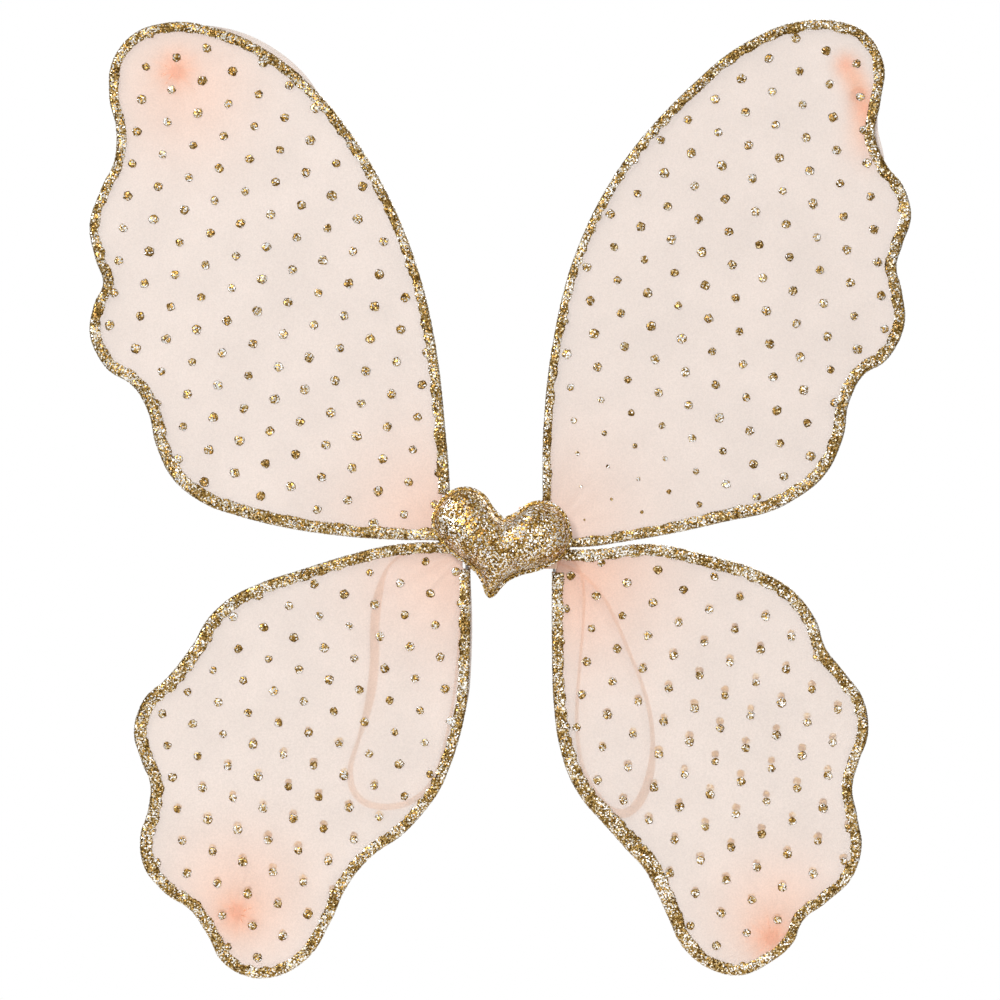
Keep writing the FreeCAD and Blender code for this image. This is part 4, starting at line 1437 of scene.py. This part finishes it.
@dataclass
class Hub:
    """The felt-covered pad behind the heart, and the CAD pieces between them."""

    corner: float = 5.0                # radius of the outline's corners
    round_over: float = 1.7            # radius of the edges
    crown: float = 0.35                # how far each face stands up in its middle
    innermost: float = 4.9             # inset of the first and last rings
    front_gap: float = 0.85            # from the foam's own front to the pad's
    crown_room: float = 0.25           # kept behind for the crown

    def outline(self, inset: float, count: int) -> np.ndarray:
        """A rounded rectangle: the pad's box moved in, its corners an equal distance from four points.

        Args:
            inset: how far inside the pad's box it runs, in millimetres.
            count: how many points to give.

        Returns:
            (x, z) points in metres, anticlockwise.
        """
        low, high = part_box("back_pad_felt")
        half = np.array([high.x - low.x, high.z - low.z]) / 2
        turn = np.linspace(0, 2 * np.pi, count, endpoint=False)
        way = np.stack([np.cos(turn), np.sin(turn)], axis=1)
        core = half - self.corner * MM
        reach = (self.corner - inset) * MM
        square = way / np.abs(way).max(1, keepdims=True)
        return np.clip(square * half.max() * 1.5, -core, core) + way * reach

    def pad(self) -> None:
        """The pad: felt drawn over foam, rounded at its edges and crowned a little on both faces."""
        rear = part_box("back_pad_felt")[1].y
        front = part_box("back_pad_foam")[0].y + self.front_gap * MM
        back = rear - self.crown_room * MM
        bend = np.linspace(0, np.pi / 2, 8)
        inset = np.concatenate([
            np.linspace(self.innermost, self.round_over, 7)[:-1], self.round_over * (1 - np.sin(bend)),
            self.round_over * (1 - np.cos(bend)), np.linspace(self.round_over, self.innermost, 7)[1:],
        ])
        slope = self.round_over * MM * (1 - np.cos(bend))
        rise = self.crown * MM * np.linspace(1, 0, 7)[:-1] ** 2
        depth = np.concatenate([front - rise, front + slope, back - slope[::-1], back + rise[::-1]])
        rings = np.stack([in_space(self.outline(i, 120), d) for i, d in zip(inset, depth)])
        piece = shell("back_pad", rings)
        dress(piece, FELT, "hub")
        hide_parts("back_pad_foam", "back_pad_felt")
        seam = self.outline(inset=2.6, count=400)
        seam = in_space(np.concatenate([seam, seam[:1]]), rear - 0.2 * MM)
        stitch = RunningStitch(length=2.4, gap=1.1, radius=0.28, rise=0.15, outward=1)
        sewn = shell("back_pad_stitches", stitch.rings(seam))
        dress(sewn, THREAD, "hub")

    def build(self) -> None:
        """Makes the pad and dresses the CAD pieces that stay."""
        self.pad()
        redress("hub_board", CARD)
        redress("heart_glue_pad", FOAM)
        redress("hub_stitches", THREAD)


# Studio


@dataclass
class Studio:
    """A pale floor, soft lights and the camera."""

    lens: float = 150.0
    sensor: float = 36.0
    view: float = 486.0                # width of the view at the wings, in millimetres
    aim: Pair = (-3.16, 21.4)          # (x, z) that the lens points at
    floor: float = -300.0              # z of the floor, well below the wings
    room: float = 0.53                 # strength of the light from all round

    def camera(self) -> None:
        """A long lens straight in front of the wings."""
        data = bpy.data.cameras.new("camera")
        data.lens = self.lens
        data.sensor_width = self.sensor
        data.clip_end = 20
        eye = bpy.data.objects.new("camera", data)
        away = self.view * self.lens / self.sensor
        wing_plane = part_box("upper_left_wire_frame")[0].y / MM + 1
        eye.location = Vector((self.aim[0], wing_plane - away, self.aim[1])) * MM
        eye.rotation_euler = (math.pi / 2, 0, 0)
        bpy.context.scene.collection.objects.link(eye)
        bpy.context.scene.camera = eye

    def lamp(self, name: str, place: Sequence[float], size: float, power: float) -> None:
        """One square soft light that points at the hub.

        Args:
            name: the light's name.
            place: where it stands, in metres.
            size: its side, in metres.
            power: in watts.
        """
        data = bpy.data.lights.new(name, "AREA")
        data.size = size
        data.energy = power
        lamp = bpy.data.objects.new(name, data)
        lamp.location = place
        lamp.rotation_euler = (-Vector(place)).to_track_quat("-Z", "Y").to_euler()
        bpy.context.scene.collection.objects.link(lamp)

    def surroundings(self) -> None:
        """A white room: plain white behind the wings, and a softer light that falls off downwards."""
        world = bpy.data.worlds.new("white_room")
        world.use_nodes = True
        tree = world.node_tree
        tree.nodes.clear()
        seen = add_node(tree, "LightPath").outputs["Is Camera Ray"]
        way = add_node(tree, "SeparateXYZ", {0: add_node(tree, "TexCoord").outputs["Generated"]})
        level = add_node(tree, "MapRange", {"Value": way.outputs[2], 1: -1.0, 2: 1.0})
        tone = add_node(tree, "ValToRGB", {"Fac": level.outputs[0]},
                        [(0.0, "#B9B7B4"), (0.5, "#DEDDDB"), (1.0, "#FFFFFF")])
        light = add_node(tree, "Background", {"Color": tone.outputs["Color"], "Strength": self.room})
        wall = add_node(tree, "Background", {"Color": linear("#FFFFFF"), "Strength": 1.0})
        mixed = add_node(tree, "MixShader", {0: seen, 1: light.outputs[0], 2: wall.outputs[0]})
        add_node(tree, "OutputWorld", {"Surface": mixed.outputs[0]})
        bpy.context.scene.world = world

    def ground(self) -> None:
        """A round floor whose rim turns down: rings of growing radius, the last one lower."""
        turn = np.linspace(0, 2 * np.pi, 96, endpoint=False)
        spoke = np.stack([np.cos(turn), np.sin(turn)], axis=1)
        radius = np.array([0.15, 0.35, 0.5, 0.55, 0.552])
        drop = np.array([0, 0, 0, 0, -0.004])
        rings = np.stack([in_space(spoke * r, 0.0)[:, [0, 2, 1]] for r in radius])
        rings[..., 2] += self.floor * MM + drop[:, None]
        floor = shell("floor", rings)
        floor.data.materials.append(FLOOR_PAINT.material())

    def build(self) -> None:
        """Sets up the camera, the room, the lights and the floor."""
        self.camera()
        self.surroundings()
        self.lamp("key", (-0.9, -1.3, 1.1), 0.55, 33)
        self.lamp("fill", (1.2, -1.2, 0.1), 1.0, 6)
        self.lamp("rim", (0.5, 1.4, 0.9), 0.9, 12)
        self.ground()


def main() -> None:
    """Builds the studio and every sub-assembly."""
    logging.basicConfig(level=logging.INFO, format="%(message)s")
    bpy.context.scene.view_settings.view_transform = "Standard"
    Studio().build()
    for loop in LOOPS:
        loop.build()
    for wing in WINGS:
        wing.build()
    StuffedHeart().build()
    Hub().build()


if __name__ == "__main__":
    main()
